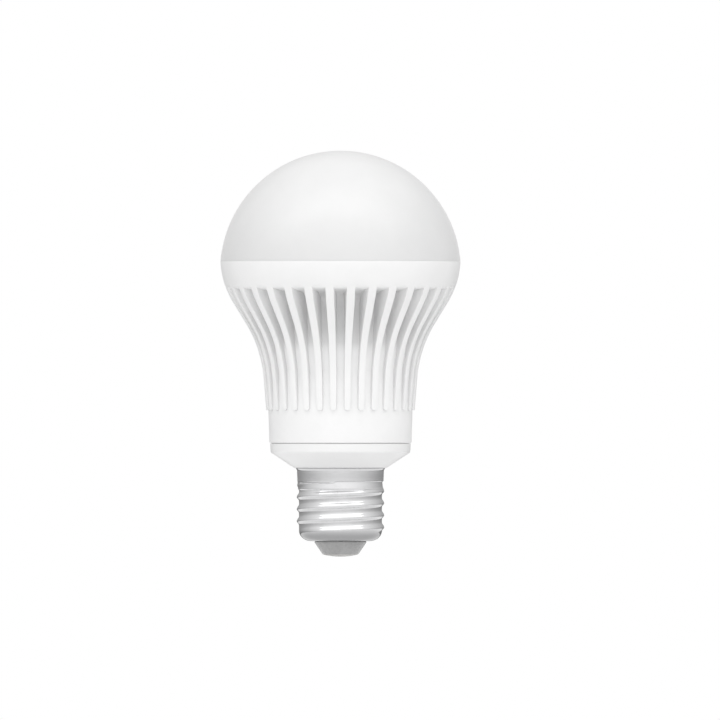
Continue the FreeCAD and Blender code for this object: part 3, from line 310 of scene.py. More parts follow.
def coreLine():
    # floor of the gaps, from the band up the core and out under the rim
    points = [(sink["bandRadius"], sink["bandTop"])]
    heights = [(z, r) for r, z in (points[0], sink["coreWaist"], sink["coreNeck"], sink["coreTop"])]
    straight = sink["coreTop"][1] - sink["bandTop"] - sink["archDrop"]
    for step in range(1, sink["coreSteps"] + 1):
        z = sink["bandTop"] + step * straight / sink["coreSteps"]
        points.append((between(heights, z), z))
    # the arch: an arc that leaves the core straight up and meets the slope under the rim
    topR, topZ = points[-1]
    underR, underZ = sink["underRim"]
    radius = sink["archRadius"]
    lean = math.atan2(underR - topR - radius, underZ - topZ - radius)
    for step in range(1, sink["archSteps"] + 1):
        bend = step / sink["archSteps"] * (lean - sink["archEase"])
        points.append((topR + radius * (1 - math.cos(bend)), topZ + radius * math.sin(bend)))
    lastR, lastZ = points[-1]
    for step in range(1, sink["underSteps"] + 1):
        part = step / sink["underSteps"]
        points.append((lastR + (underR - lastR) * part, lastZ + (underZ - lastZ) * part))
    # the rim's lower edge, eased
    edgeR = flare(sink["rimEdge"])
    points += [(edgeR + out, sink["rimEdge"] + up) for out, up in sink["rimEdgeEase"]]
    return points


def finRows(core):
    # for each point of the core line, the point of the fin's edge that it grows out to
    top = core[-1][1]
    lengths = [0.0]
    for before, after in zip(core, core[1:]):
        lengths.append(lengths[-1] + math.dist(before, after))
    fanFrom = next(i for i, (r, z) in enumerate(core) if z > sink["fanStart"])
    rows = []
    for i, (r, z) in enumerate(core):
        if i > fanFrom:
            part = (lengths[i] - lengths[fanFrom]) / (lengths[-1] - lengths[fanFrom])
            z = core[fanFrom][1] + (top - core[fanFrom][1]) * part
        rows.append((flare(z), z))
    rows[-1] = core[-1]
    return rows


def makeHeatSink():
    core = coreLine()
    # extra rows close together shape the fins' rounded feet
    footRows = [(sink["bandRadius"] + sink["footLean"] * up, sink["bandTop"] + up) for up in sink["footRows"]]
    core = core[:1] + footRows + core[2:]
    rim = [(flare(z), z) for z in sink["rimRows"]]
    shell = [(sink["bottomRadius"], sink["bottom"]), *core, *rim, (flare(sink["seam"]), sink["seam"])]
    inside = [
        (sink["recess"], sink["seam"]),
        (sink["recess"], sink["ledge"]),
        (sink["deckEdge"], sink["ledge"]),
        (sink["deckEdge"], sink["deckTop"]),
        (0, sink["deckTop"]),
        (0, sink["deckBottom"]),
        (sink["cavityTop"][0], sink["deckBottom"]),
        sink["cavityTop"],
        (sink["cavityBottom"], sink["bottom"]),
    ]
    halfPitch = math.pi / sink["fins"]
    finAngle = math.radians(sink["finAngle"])
    # one fin's share of the ring: half a gap, the fin, half a gap
    piece = drawProfile("heatSink", [*shell, *inside, shell[0]], turn=-halfPitch)
    closeProfile(shell[-1])
    bpy.ops.mesh.select_all(action="SELECT")
    for steps, angle in ((2, halfPitch - finAngle), (2, 2 * finAngle), (2, halfPitch - finAngle)):
        bpy.ops.mesh.spin(steps=steps, angle=-angle, center=(0, 0, 0), axis=(0, 0, 1))
    closeMesh()
    growFin(core, finRows(core), finAngle)
    roundFin()
    # its copies close the ring
    bpy.ops.mesh.select_all(action="SELECT")
    bpy.ops.mesh.spin(
        steps=sink["fins"] - 1, angle=math.tau - 2 * halfPitch, center=(0, 0, 0), axis=(0, 0, 1), dupli=True)
    closeMesh()
    # a gap faces forward
    takePiece(piece)
    piece.rotation_euler.z = -math.pi / 2 - halfPitch
    bpy.ops.object.transform_apply(location=False, rotation=True, scale=False)
    drillDeck(piece)
    smooth(piece, 40)
    finishPiece(piece, "heat_sink_paint", "heat_sink")
    return piece


def closeProfile(seamCorner):
    bpy.ops.mesh.select_all(action="SELECT")
    bpy.ops.mesh.remove_doubles(threshold=sameSpot)
    roundCorners([(*seamCorner, sink["seamRound"])], 3)
    roundCorners([(sink["bottomRadius"], sink["bottom"], sink["bottomRound"])], 3)
    roundCorners([(sink["cavityTop"][0], sink["deckBottom"], sink["cavityRound"])], 4)


def growFin(core, rows, finAngle):
    # the fin's faces are pulled out of the core, then each row goes to its own place
    coreFaces = [((a[0] + b[0]) / 2 * mm, (a[1] + b[1]) / 2 * mm) for a, b in zip(core, core[1:])]

    def onFin(face):
        spot = face.calc_center_median()
        if abs(math.atan2(spot.y, spot.x)) > finAngle:
            return False
        place = Vector((spot.xy.length, spot.z))
        return any((place - Vector(c)).length < 0.05 * mm for c in coreFaces)

    pick("FACE", onFin)
    bpy.ops.mesh.extrude_region_move()
    mesh = bmesh.from_edit_mesh(bpy.context.object.data)
    grown = {v.index: v.co.copy() for v in mesh.verts if v.select}
    roots = {v.index: v.co.copy() for v in mesh.verts if v.index not in grown and v.co.x > 0
             and abs(math.atan2(v.co.y, v.co.x)) < finAngle + 1e-4}
    for (coreR, coreZ), (outR, outZ) in list(zip(core, rows))[:-1]:
        width = between(sink["finWidths"], outZ)
        foot = min(1.0, (outZ - sink["bandTop"] + sink["footLift"]) / sink["finFootRound"])
        width *= math.sqrt(max(sink["footThinnest"], 1 - (1 - foot) ** 2))
        # the root is a little wider than the edge, for draft
        rootWidth = width + sink["rootSpread"] * (outR - coreR)
        ownRow, rootRow = [
            [i for i, spot in spots.items()
             if abs(spot.z - coreZ * mm) < sameSpot and abs(spot.xy.length - coreR * mm) < 1.5 * sameSpot]
            for spots in (grown, roots)]
        halfNow = coreR * math.sin(finAngle)
        moveRow(ownRow, (outR / coreR, width / 2 / halfNow, 1), outZ - coreZ)
        moveRow(rootRow, (1, rootWidth / 2 / halfNow, 1), 0)
    closeMesh()


def moveRow(indices, scale, lift):
    mesh = bmesh.from_edit_mesh(bpy.context.object.data)
    mesh.verts.ensure_lookup_table()
    bpy.ops.mesh.select_mode(type="VERT")
    bpy.ops.mesh.select_all(action="DESELECT")
    for i in indices:
        mesh.verts[i].select_set(True)
    bmesh.update_edit_mesh(bpy.context.object.data)
    bpy.ops.transform.resize(value=scale, center_override=(0, 0, 0))
    if lift:
        bpy.ops.transform.translate(value=(0, 0, lift * mm))


def roundFin():
    # the fin's own outer edges, clear of the band below and the rim above
    def finEdge(edge):
        if len(edge.link_faces) != 2 or edge.calc_face_angle_signed(0) < sink["finEdgeAngle"]:
            return False
        middle = (edge.verts[0].co + edge.verts[1].co) / 2 / mm
        upDown, out = sink["finEdgeMargins"]
        inHeight = sink["bandTop"] - upDown < middle.z < sink["rimEdge"] + upDown
        return inHeight and middle.xy.length > sink["bandRadius"] + out

    pick("EDGE", finEdge)
    bpy.ops.mesh.bevel(offset=sink["finEdgeRound"] * mm, segments=3, affect="EDGES", clamp_overlap=True)


deck = {
    "screwCircle": 15.5,
    "screwAngles": (90, 210, 330),
    "screwHole": 1.5,
    "leadPlace": 10.5,
    "leadHole": 1.1,
    "leadDepth": -1.5,
    "slot": (17.4, 3.4),
    "slotDepth": 0.8,
}


def screwPlaces():
    turns = [math.radians(angle) for angle in deck["screwAngles"]]
    return [(deck["screwCircle"] * math.cos(turn), deck["screwCircle"] * math.sin(turn)) for turn in turns]


def drillDeck(piece):
    # holes for three screws and two wires, and the slot that the radio board stands in
    low, high = sink["deckBottom"] - 1, sink["deckTop"] + 1
    tools = [addBlock((*deck["slot"], high - low), (0, deck["slotDepth"], (low + high) / 2))]
    for x, y in screwPlaces():
        tools.append(addRod(deck["screwHole"], (x, y, low), (x, y, high)))
    for x in (-deck["leadPlace"], deck["leadPlace"]):
        tools.append(addRod(deck["leadHole"], (x, deck["leadDepth"], low), (x, deck["leadDepth"], high)))
    combine(piece, tools, "DIFFERENCE")


# The base housing: a white PBT moulding, with the collar that shows, a neck inside the screw shell and
# a long sleeve inside the heat sink.

housing = {
    "neckBottom": 8.0,
    "neckRadius": 11.6,
    "neckBore": 10.2,
    "collarBottom": 26.7,
    "collarRadius": 13.9,
    "collarRound": 0.15,
    "collarUndercut": 0.35,
    "undercutEdge": (0.8, 0.5),
    "coneTop": 31.35,
    "coneRadius": 20.98,
    "coneRound": 0.4,
    "shoulderTop": 34.03,
    "shoulderRadius": 21.1,
    "shoulderRound": 0.2,
    "spigotRadius": 20.63,
    "spigotTop": 34.15,
    "sleeveRadius": 18.9,
    "sleeveBore": 17.7,
    "sleeveTop": 80.4,
    "endRound": 0.3,
    "funnel": (27.6, 33.2),
    "postRadius": 2.6,
    "postBottom": 62.0,
    "pilotRadius": 1.3,
    "pilotDepth": 12.0,
    "notch": (1.8, 11.0),
}


def makeHousing():
    h = housing
    piece = turnedPiece(
        "baseHousing",
        [
            (h["neckBore"], h["neckBottom"]),
            (h["neckRadius"], h["neckBottom"]),
            (h["neckRadius"], h["collarBottom"] + h["collarUndercut"]),
            (h["collarRadius"] - h["undercutEdge"][0], h["collarBottom"] + h["collarUndercut"]),
            (h["collarRadius"] - h["undercutEdge"][1], h["collarBottom"]),
            (h["collarRadius"], h["collarBottom"]),
            (h["coneRadius"], h["coneTop"]),
            (h["shoulderRadius"], h["shoulderTop"]),
            (h["spigotRadius"], h["shoulderTop"]),
            (h["spigotRadius"], h["spigotTop"]),
            (h["sleeveRadius"], h["spigotTop"]),
            (h["sleeveRadius"], h["sleeveTop"]),
            (h["sleeveBore"], h["sleeveTop"]),
            (h["sleeveBore"], h["funnel"][1]),
            (h["neckBore"], h["funnel"][0]),
            (h["neckBore"], h["neckBottom"]),
        ],
        [
            (h["collarRadius"], h["collarBottom"], h["collarRound"]),
            (h["coneRadius"], h["coneTop"], h["coneRound"]),
            (h["shoulderRadius"], h["shoulderTop"], h["shoulderRound"]),
            (h["neckRadius"], h["neckBottom"], h["endRound"]),
            (h["sleeveRadius"], h["sleeveTop"], h["endRound"]),
        ],
        steps=144,
    )
    # posts for the three screws, their pilot holes, and the notch that lets the neutral lead out
    posts, cuts = [], []
    top = h["sleeveTop"]
    for x, y in screwPlaces():
        posts.append(addRod(h["postRadius"], (x, y, h["postBottom"]), (x, y, top)))
        cuts.append(addRod(h["pilotRadius"], (x, y, top - h["pilotDepth"]), (x, y, top + 1)))
    width, top = h["notch"]
    bottom = h["neckBottom"] - 1
    middle = (h["neckRadius"] + h["neckBore"]) / 2
    cuts.append(addBlock((3, width, top - bottom), (middle, deck["leadDepth"], (top + bottom) / 2)))
    combine(piece, posts, "UNION")
    combine(piece, cuts, "DIFFERENCE")
    smooth(piece)
    finishPiece(piece, "housing_plastic", "base_housing")
    return piece


# The screw shell: 0.35 mm nickel-plated brass, drawn into a cup, with the thread rolled into its wall.

shell = {
    "wall": 0.35,
    "hole": 7.95,
    "bottom": 4.7,
    "cornerIn": 3.7,
    "cornerUp": 3.1,
    "root": 12.46,
    "crest": 13.13,
    "pitch": 3.629,
    "threadStart": 7.0,
    "threadTurns": 4.13,
    "crestRise": 1.5,
    "crestDrop": 1.0,
    "rootSag": 0.13,
    "fadeIn": 0.2,
    "fadeOut": 0.2,
    "shoulderBottom": 19.95,
    "shoulderRise": 0.45,
    "shoulderRadius": 12.77,
    "shoulderTop": 12.6,
    "neckBottom": 22.75,
    "neckRamp": 0.22,
    "neckLow": 22.2,
    "neckStepAt": 0.232,
    "neckStep": 0.02,
    "neckDip": 0.05,
    "neckRadius": 12.95,
    "neckTopRadius": 13.05,
    "lipBottom": 25.75,
    "lipTop": 26.55,
    "lipRadius": 13.45,
    "steps": 160,
    "cornerSteps": 18,
    "rowSpacing": 0.11,
    "rowsAbove": 0.3,
    "lipRows": 22,
    "moveReach": 1.2,
    "stakes": [(-96, 25.15), (24, 25.15), (144, 25.15)],
    "stakeRadius": 0.45,
    "stakeDepth": 0.04,
}


def ease(low, high, at):
    # 0 below low, 1 above high, with a soft climb in between
    part = max(0.0, min(1.0, (at - low) / (high - low)))
    return part * part * (3 - 2 * part)


def hump(at):
    # 1 at the middle, down to 0 at 1 on either side
    return 0.5 + 0.5 * math.cos(math.pi * min(1.0, abs(at)))


def wallRadius(angle, z):
    # radius of the rolled wall here: its crest climbs one pitch in each turn, starting at the left
    s = shell
    turn = ((angle + math.pi) % math.tau) / math.tau
    height = (z - s["threadStart"]) / s["pitch"]
    lift, sag = 0.0, 0.0
    for whole in (math.floor(height - turn), math.ceil(height - turn)):
        along = whole + turn
        above = (height - along) * s["pitch"]
        if 0 <= along <= s["threadTurns"] and abs(above) < s["pitch"] / 2:
            fade = ease(0, 1, min(along / s["fadeIn"], (s["threadTurns"] - along) / s["fadeOut"]))
            sag = max(sag, hump(2 * above / s["pitch"]) * fade)
            reach = s["crestRise"] if above > 0 else s["crestDrop"]
            lift = max(lift, hump(above / reach) * fade)
    # above the last full turn the wall stands a little further out, and above that comes the plain neck
    root = s["root"] + s["rootSag"] * sag
    upper = s["shoulderRadius"] + (s["shoulderTop"] - s["shoulderRadius"]) * ease(
        s["shoulderBottom"], s["neckBottom"], z)
    root += (upper - root) * ease(s["shoulderBottom"], s["shoulderBottom"] + s["shoulderRise"], z)
    radius = root + (s["crest"] - root) * lift
    # the neck comes lower over the last part turn, and steps up where that ends
    raised = ease(s["neckStepAt"] - s["neckStep"], s["neckStepAt"], turn) * ease(1, 1 - s["neckStep"], turn)
    neckBottom = s["neckLow"] + (s["neckBottom"] - s["neckLow"]) * raised
    widening = s["neckTopRadius"] - s["neckRadius"]
    plain = s["neckRadius"] + widening * ease(s["neckBottom"], s["lipBottom"], z)
    plain -= s["neckDip"] * (1 - ease(s["neckBottom"] - s["neckRamp"], s["neckBottom"], z))
    neck = root + (plain - root) * ease(neckBottom - s["neckRamp"], neckBottom, z)
    radius = max(radius, neck)
    flared = max(0.0, min(1.0, (z - s["lipBottom"]) / (s["lipTop"] - s["lipBottom"])))
    radius += (s["lipRadius"] - s["neckTopRadius"]) * (1 - math.cos(flared * math.pi / 2))
    for stakeAngle, stakeZ in s["stakes"]:
        gap = math.hypot((angle - math.radians(stakeAngle)) * s["neckRadius"], z - stakeZ)
        radius -= s["stakeDepth"] * hump(gap / s["stakeRadius"])
    return radius


def makeShell():
    s = shell
    cornerTop = s["bottom"] + s["cornerUp"]
    turns = [math.pi / 2 * (1 - i / s["cornerSteps"]) for i in range(s["cornerSteps"])]
    corner = [(s["root"] - s["cornerIn"] * (1 - math.cos(turn)), cornerTop - s["cornerUp"] * math.sin(turn))
              for turn in turns]
    # close rows over the thread, wider ones up the neck and the lip
    threadedHeight = s["neckBottom"] + s["rowsAbove"] - cornerTop
    rows = round(threadedHeight / s["rowSpacing"])
    threaded = [cornerTop + threadedHeight * i / rows for i in range(rows + 1)]
    lipRise = (s["lipTop"] - threaded[-1]) / s["lipRows"]
    plain = [threaded[-1] + lipRise * i for i in range(1, s["lipRows"] + 1)]
    line = [(s["hole"], s["bottom"]), *corner, *[(s["root"], z) for z in threaded + plain]]
    piece = drawProfile("screwShell", line)
    spinProfile(s["steps"])
    closeMesh()
    bpy.ops.object.mode_set(mode="OBJECT")
    # every point of the straight wall moves out to its place on the thread, the neck or the lip
    for vertex in piece.data.vertices:
        x, y, z = (c / mm for c in vertex.co)
        radius = math.hypot(x, y)
        if radius > s["root"] - s["moveReach"]:
            out = 1 + (wallRadius(math.atan2(y, x), z) - s["root"]) / radius
            vertex.co.x *= out
            vertex.co.y *= out
    applyModifier(piece, "SOLIDIFY", thickness=s["wall"] * mm, offset=-1, use_even_offset=True)
    smooth(piece, 50)
    finishPiece(piece, "shell_metal", "screw_shell")
    return piece


# The insulator and the contact that is pressed through it.

insulator = {
    "hole": 1.6,
    "bottom": 0.75,
    "footRadius": 5.4,
    "topRadius": 7.88,
    "coneTop": 4.45,
    "gapDepth": 0.2,
    "flangeBottom": 5.05,
    "flangeRadius": 9.3,
    "flangeTop": 6.6,
    "footRound": 0.16,
    "coneRound": 0.1,
    "flangeRound": 0.3,
}

contact = {
    "radius": 5.15,
    "edge": 0.62,
    "edgeRound": 0.1,
    "back": 0.78,
    "stemRadius": 1.5,
    "stemTop": 7.2,
    "bore": 0.75,
    "boreFloor": 3.0,
}


def makeInsulator():
    i = insulator
    piece = turnedPiece(
        "baseInsulator",
        [
            (i["hole"], i["bottom"]),
            (i["footRadius"], i["bottom"]),
            (i["topRadius"], i["coneTop"]),
            (i["topRadius"] - i["gapDepth"], i["coneTop"] + 0.05),
            (i["topRadius"] - i["gapDepth"], i["flangeBottom"]),
            (i["flangeRadius"], i["flangeBottom"]),
            (i["flangeRadius"], i["flangeTop"]),
            (i["hole"], i["flangeTop"]),
            (i["hole"], i["bottom"]),
        ],
        [
            (i["footRadius"], i["bottom"], i["footRound"]),
            (i["topRadius"], i["coneTop"], i["coneRound"]),
            (i["flangeRadius"], i["flangeTop"], i["flangeRound"]),
        ],
        steps=112,
    )
    finishPiece(piece, "insulator_glass", "base_insulator")
    return piece


def makeContact():
    c = contact
    bulge = (c["radius"] ** 2 + c["edge"] ** 2) / (2 * c["edge"])
    radii = [c["radius"] * part / 10 for part in range(11)]
    face = [(r, bulge - math.sqrt(bulge ** 2 - r ** 2)) for r in radii]
    piece = turnedPiece(
        "centreContact",
        [
            *face,
            (c["radius"], c["back"]),
            (c["stemRadius"], c["back"]),
            (c["stemRadius"], c["stemTop"]),
            (c["bore"], c["stemTop"]),
            (c["bore"], c["boreFloor"]),
            (0, c["boreFloor"]),
        ],
        [(c["radius"], c["edge"], c["edgeRound"])],
        steps=96,
        segments=3,
    )
    finishPiece(piece, "contact_metal", "centre_contact")
    return piece


# Materials. Every pattern reads Object coordinates, in metres, so a size in mm becomes a scale through perMm.

def linear(hexCode):
    # an sRGB hex colour as the linear values that the shaders work in
    parts = [int(hexCode[i:i + 2], 16) / 255 for i in (1, 3, 5)]
    return (*[p / 12.92 if p <= 0.04045 else ((p + 0.055) / 1.055) ** 2.4 for p in parts], 1)


def perMm(size):
    # scale of a pattern whose features are this many mm across
    return 1000 / size


def wavesPerMm(size):
    # the same for a wave texture, which packs 20 radians of wave into each unit
    return perMm(size) / 20 * 6.28


def addNode(tree, kind, settings=None, links=None):
    # settings go to sockets, by name or number, or to the node itself; links bring in other nodes' outputs,
    # and a node stands for its first one
    node = tree.nodes.new("ShaderNode" + kind)
    for key, value in (settings or {}).items():
        if isinstance(key, int) or key in node.inputs:
            node.inputs[key].default_value = value
        else:
            setattr(node, key, value)
    for key, source in (links or {}).items():
        tree.links.new(getattr(source, "outputs", [source])[0], node.inputs[key])
    return node


def surface(name, light, dark, roughness, mottle=5.0, grain=0.3, depth=0.01, stretch=(1, 1, 1), **values):
    # The common ground of the finishes: a soft drift between two near colours, roughness that wanders between
    # two values, and a fine relief. Sizes in mm; stretch below 1 draws the patterns out along that axis, and
    # values are the shader's own sockets.
    material = bpy.data.materials.new(name)
    material.use_nodes = True
    tree = material.node_tree
    tree.nodes.clear()
    shader = addNode(tree, "BsdfPrincipled", {key.replace("_", " "): value for key, value in values.items()})
    addNode(tree, "OutputMaterial", links={"Surface": shader})
    place = addNode(tree, "TexCoord").outputs["Object"]
    turned = addNode(tree, "Mapping", {"Scale": stretch}, {"Vector": place})
    drift = addNode(tree, "TexNoise", {"Scale": perMm(mottle), "Detail": 4.0, "Roughness": 0.6},
                    {"Vector": turned})
    spread = addNode(tree, "MapRange", {"From Min": 0.32, "From Max": 0.68}, {"Value": drift})
    tint = addNode(tree, "Mix", {"data_type": "RGBA", 6: linear(dark), 7: linear(light)}, {0: spread})
    tree.links.new(tint.outputs[2], shader.inputs["Base Color"])
    gloss = addNode(tree, "TexNoise", {"Scale": perMm(mottle * 0.6), "Detail": 3.0}, {"Vector": turned})
    level = addNode(tree, "MapRange", {"From Min": 0.35, "From Max": 0.65, "To Min": roughness[0],
                                       "To Max": roughness[1]}, {"Value": gloss})
    tree.links.new(level.outputs["Result"], shader.inputs["Roughness"])
    fine = addNode(tree, "TexNoise", {"Scale": perMm(grain), "Detail": 2.0}, {"Vector": turned})
    relief = addNode(tree, "Bump", {"Strength": 1.0, "Distance": depth * mm}, {"Height": fine})
    tree.links.new(relief.outputs["Normal"], shader.inputs["Normal"])
    return SimpleNamespace(
        material=material, nodes=tree.nodes, links=tree.links, shader=shader, place=place,
        colour=tint.outputs[2], normal=relief.outputs["Normal"])


def overlay(skin, hexCode, mask):
    # lays a further colour over the skin where the mask is 1
    mixed = addNode(skin, "Mix", {"data_type": "RGBA", 7: linear(hexCode)}, {0: mask, 6: skin.colour})
    skin.colour = mixed.outputs[2]
    skin.links.new(skin.colour, skin.shader.inputs["Base Color"])


def emboss(skin, height, distance, strength=1.0):
    # a further relief on the skin, this many mm high
    relief = addNode(skin, "Bump", {"Distance": distance * mm, "Strength": strength},
                     {"Height": height, "Normal": skin.normal})
    skin.normal = relief.outputs["Normal"]
    skin.links.new(skin.normal, skin.shader.inputs["Normal"])


def sprinkle(skin, hexCode, spacing, edge, share):
    # grains of a second colour, one in each cell of this many mm; edge is where a grain begins and is full
    cells = addNode(skin, "TexVoronoi", {"Scale": perMm(spacing)}, {"Vector": skin.place})
    mask = addNode(skin, "MapRange", {"From Min": edge[0], "From Max": edge[1], "To Max": share},
                   {"Value": cells})
    overlay(skin, hexCode, mask)


def finish(*values, grains=None, **settings):
    # a finish that needs only the common ground, and perhaps grains of a second colour
    skin = surface(*values, **settings)
    if grains:
        sprinkle(skin, *grains)
    return skin.material


# painted shade between the fins of the heat sink: its grey, and the depths and heights where it falls
powder = {
    "shadeColour": "#DEDEDE",
    "bendSoftness": 6.4,
    "floorDepth": (1.5, 2.2),
    "flankDepth": (0.15, 0.6),
    "flankTurn": (0.75, 0.3),
    "archHeights": (69, 77),
}


def whitePowderCoat():
    # polyester powder coat, baked on die-cast aluminium: flows into a faint orange peel about 1.2 mm across
    skin = surface(
        "white powder coat", "#EDEDED", "#EAEAEA", (0.36, 0.46), mottle=9, grain=1.2, depth=0.004, IOR=1.5)
    # painted shade between the fins: the colour is greyed where the surface lies deep below the fins' outline,
    # which is a taper and a flare joined softly; the mask grows with that depth
    upward = addNode(skin, "SeparateXYZ", links={"Vector": skin.place}).outputs["Z"]
    (waistR, waistZ), (rimR, shoulderZ) = sink["waist"], sink["shoulder"]
    taper = (waistR - sink["footRadius"]) / (waistZ - sink["bandTop"])
    flareSlope = (rimR - waistR) / (shoulderZ - waistZ)
    lines = [addNode(skin, "Math", {"operation": "MULTIPLY_ADD", 1: slope, 2: (waistR - slope * waistZ) * mm},
                     {0: upward}) for slope in (taper, flareSlope)]
    joined = addNode(skin, "Math", {"operation": "SMOOTH_MAX", 2: powder["bendSoftness"] * mm},
                     {0: lines[0], 1: lines[1]})
    outline = addNode(skin, "Math", {"operation": "MINIMUM", 1: rimR * mm}, {0: joined})
    flat = addNode(skin, "VectorMath", {"operation": "MULTIPLY", 1: (1, 1, 0)}, {0: skin.place})
    radius = addNode(skin, "VectorMath", {"operation": "LENGTH"}, {0: flat})
    depth = addNode(skin, "Math", {"operation": "SUBTRACT"}, {0: outline, 1: radius.outputs["Value"]})
    start, full = powder["floorDepth"]
    sunk = addNode(skin, "MapRange", {"From Min": start * mm, "From Max": full * mm}, {"Value": depth})
    # painted shade on the fins' flanks too, which stand across the radius, once they lie a little below the
    # outline
    outward = addNode(skin, "VectorMath", {"operation": "NORMALIZE"}, {0: flat})
    facing = addNode(skin, "VectorMath", {"operation": "DOT_PRODUCT"},
                     {0: outward, 1: addNode(skin, "TexCoord").outputs["Normal"]})
    across = addNode(skin, "Math", {"operation": "ABSOLUTE"}, {0: facing.outputs["Value"]})
    start, full = powder["flankTurn"]
    flank = addNode(skin, "MapRange", {"From Min": start, "From Max": full}, {"Value": across})
    start, full = powder["flankDepth"]
    below = addNode(skin, "MapRange", {"From Min": start * mm, "From Max": full * mm}, {"Value": depth})
    flanks = addNode(skin, "Math", {"operation": "MULTIPLY"}, {0: flank, 1: below})
    shaded = addNode(skin, "Math", {"operation": "MAXIMUM"}, {0: sunk, 1: flanks})
    # the painted shade fades out again up in the arches under the rim
    start, full = powder["archHeights"]
    lower = addNode(skin, "MapRange", {"From Min": full * mm, "From Max": start * mm}, {"Value": upward})
    mask = addNode(skin, "Math", {"operation": "MULTIPLY"}, {0: shaded, 1: lower})
    overlay(skin, powder["shadeColour"], mask)
    return skin.material


# dull clouds of the plate, and the painted shade at the shell's bottom corner
platingAndShade = {
    "cloudColour": "#BDBDBD",
    "cloudSize": 4.5,
    "cloudShare": 0.3,
    "cornerShadeColour": "#A2A2A3",
    "cornerShadeHeights": (8.8, 6.0),
}


def nickelPlate():
    # bright nickel on brass that was drawn and thread-rolled: rolling lines run round
    skin = surface(
        "bright nickel plate", "#DADADB", "#D2D2D3", (0.12, 0.18), mottle=5, grain=0.16, depth=0.0009,
        stretch=(0.06, 0.06, 1), Metallic=1.0)
    # fingertip-sized dull clouds on top of the lines
    cloud = addNode(skin, "TexNoise", {"Scale": perMm(platingAndShade["cloudSize"]), "Detail": 5, "Roughness": 0.65},
                    {"Vector": skin.place})
    dull = addNode(skin, "MapRange", {"From Min": 0.5, "From Max": 0.72, "To Max": platingAndShade["cloudShare"]},
                   {"Value": cloud})
    overlay(skin, platingAndShade["cloudColour"], dull)
    # painted shade: the colour darkens over the drawn corner at the bottom, most towards the bottom edge
    upward = addNode(skin, "SeparateXYZ", links={"Vector": skin.place}).outputs["Z"]
    start, full = platingAndShade["cornerShadeHeights"]
    low = addNode(skin, "MapRange", {"interpolation_type": "SMOOTHSTEP", "From Min": start * mm,
                                     "From Max": full * mm}, {"Value": upward})
    overlay(skin, platingAndShade["cornerShadeColour"], low)
    return skin.material


def fishPaper():
    # vulcanised fibre board, calendered: creamy, with short fibres about 0.8 mm long lying flat
    skin = surface(
        "vulcanised fibre", "#EAE7DA", "#D8D3C0", (0.55, 0.72), mottle=3, grain=0.25, depth=0.012, IOR=1.5)
    turned = addNode(skin, "Mapping", {"Scale": (0.25, 1, 1), "Rotation": (0, 0, 0.6)},
                     {"Vector": skin.place})
    fibres = addNode(skin, "TexNoise", {"Scale": perMm(0.3), "Detail": 3.0}, {"Vector": turned})
    mask = addNode(skin, "MapRange", {"From Min": 0.6, "From Max": 0.68, "To Max": 0.5}, {"Value": fibres})
    overlay(skin, "#B9B096", mask)
    return skin.material


def whiteSolderMask():
    # white solder mask over copper on an aluminium board: rings of copper, 8 mm wide, show faintly raised
    skin = surface(
        "white solder mask", "#F6F6F3", "#F0F0EC", (0.28, 0.38), mottle=6, grain=0.3, depth=0.004, IOR=1.54,
        Coat_Weight=0.15, Coat_Roughness=0.2)
    rings = addNode(skin, "TexWave", {"wave_type": "RINGS", "rings_direction": "Z", "Scale": wavesPerMm(16)},
                    {"Vector": skin.place})
    edge = addNode(skin, "MapRange", {"From Min": 0.46, "From Max": 0.54}, {"Value": rings.outputs["Fac"]})
    emboss(skin, edge, 0.035)
    mask = addNode(skin, "Math", {"operation": "MULTIPLY", 1: 0.25}, {0: edge})
    overlay(skin, "#DCDCD2", mask)
    return skin.material


def laminate(name, mask, deep, copper):
    # glass-epoxy board under solder mask: copper shows a shade lighter, and the 0.5 mm glass weave faintly
    skin = surface(
        name, mask, deep, (0.22, 0.34), mottle=7, grain=0.3, depth=0.003, IOR=1.55, Coat_Weight=0.3,
        Coat_Roughness=0.15)
    warp, weft = [addNode(skin, "TexWave", {"bands_direction": direction, "Scale": wavesPerMm(0.5)},
                          {"Vector": skin.place}).outputs["Fac"] for direction in ("X", "Z")]
    weave = addNode(skin, "Math", {"operation": "ADD"}, {0: warp, 1: weft})
    emboss(skin, weave, 0.006, 0.6)
    cells = addNode(skin, "TexVoronoi", {"distance": "CHEBYCHEV", "Scale": perMm(4.2), "Randomness": 0.85},
                    {"Vector": skin.place})
    pour = addNode(skin, "MapRange", {"From Min": 0.45, "From Max": 0.42}, {"Value": cells})
    emboss(skin, pour, 0.035)
    overlay(skin, copper, pour)
    return skin.material


def capacitorSleeve():
    # shrunk PVC sleeve on an aluminium can: glossy near-black with one pale polarity stripe up the back, and
    # the bare end of the can left silver
    skin = surface(
        "shrunk PVC sleeve", "#2B2D33", "#1F2126", (0.25, 0.35), mottle=3, grain=0.5, depth=0.008, IOR=1.53,
        Coat_Weight=0.35, Coat_Roughness=0.15)
    facing = addNode(skin, "SeparateXYZ", links={"Vector": addNode(skin, "TexCoord").outputs["Normal"]})
    stripe = addNode(skin, "MapRange", {"From Min": 0.9, "From Max": 0.905, "To Max": 0.9},
                     {"Value": facing.outputs["Y"]})
    overlay(skin, "#C9CBCD", stripe)
    # the ends of the upright can, whose faces look up and down
    end = addNode(skin, "Math", {"operation": "ABSOLUTE"}, {0: facing.outputs["Z"]})
    cap = addNode(skin, "MapRange", {"From Min": 0.97, "From Max": 0.99}, {"Value": end})
    overlay(skin, "#B9BABB", cap)
    skin.links.new(cap.outputs["Result"], skin.shader.inputs["Metallic"])
    return skin.material


def dippedEpoxy(name, light, dark):
    # powder-dipped epoxy coat: glossy, lumpy like a thick drip, a shade darker where it is thin
    return surface(
        name, light, dark, (0.16, 0.3), mottle=2.6, grain=1.4, depth=0.08, IOR=1.55, Coat_Weight=0.5,
        Coat_Roughness=0.1).material


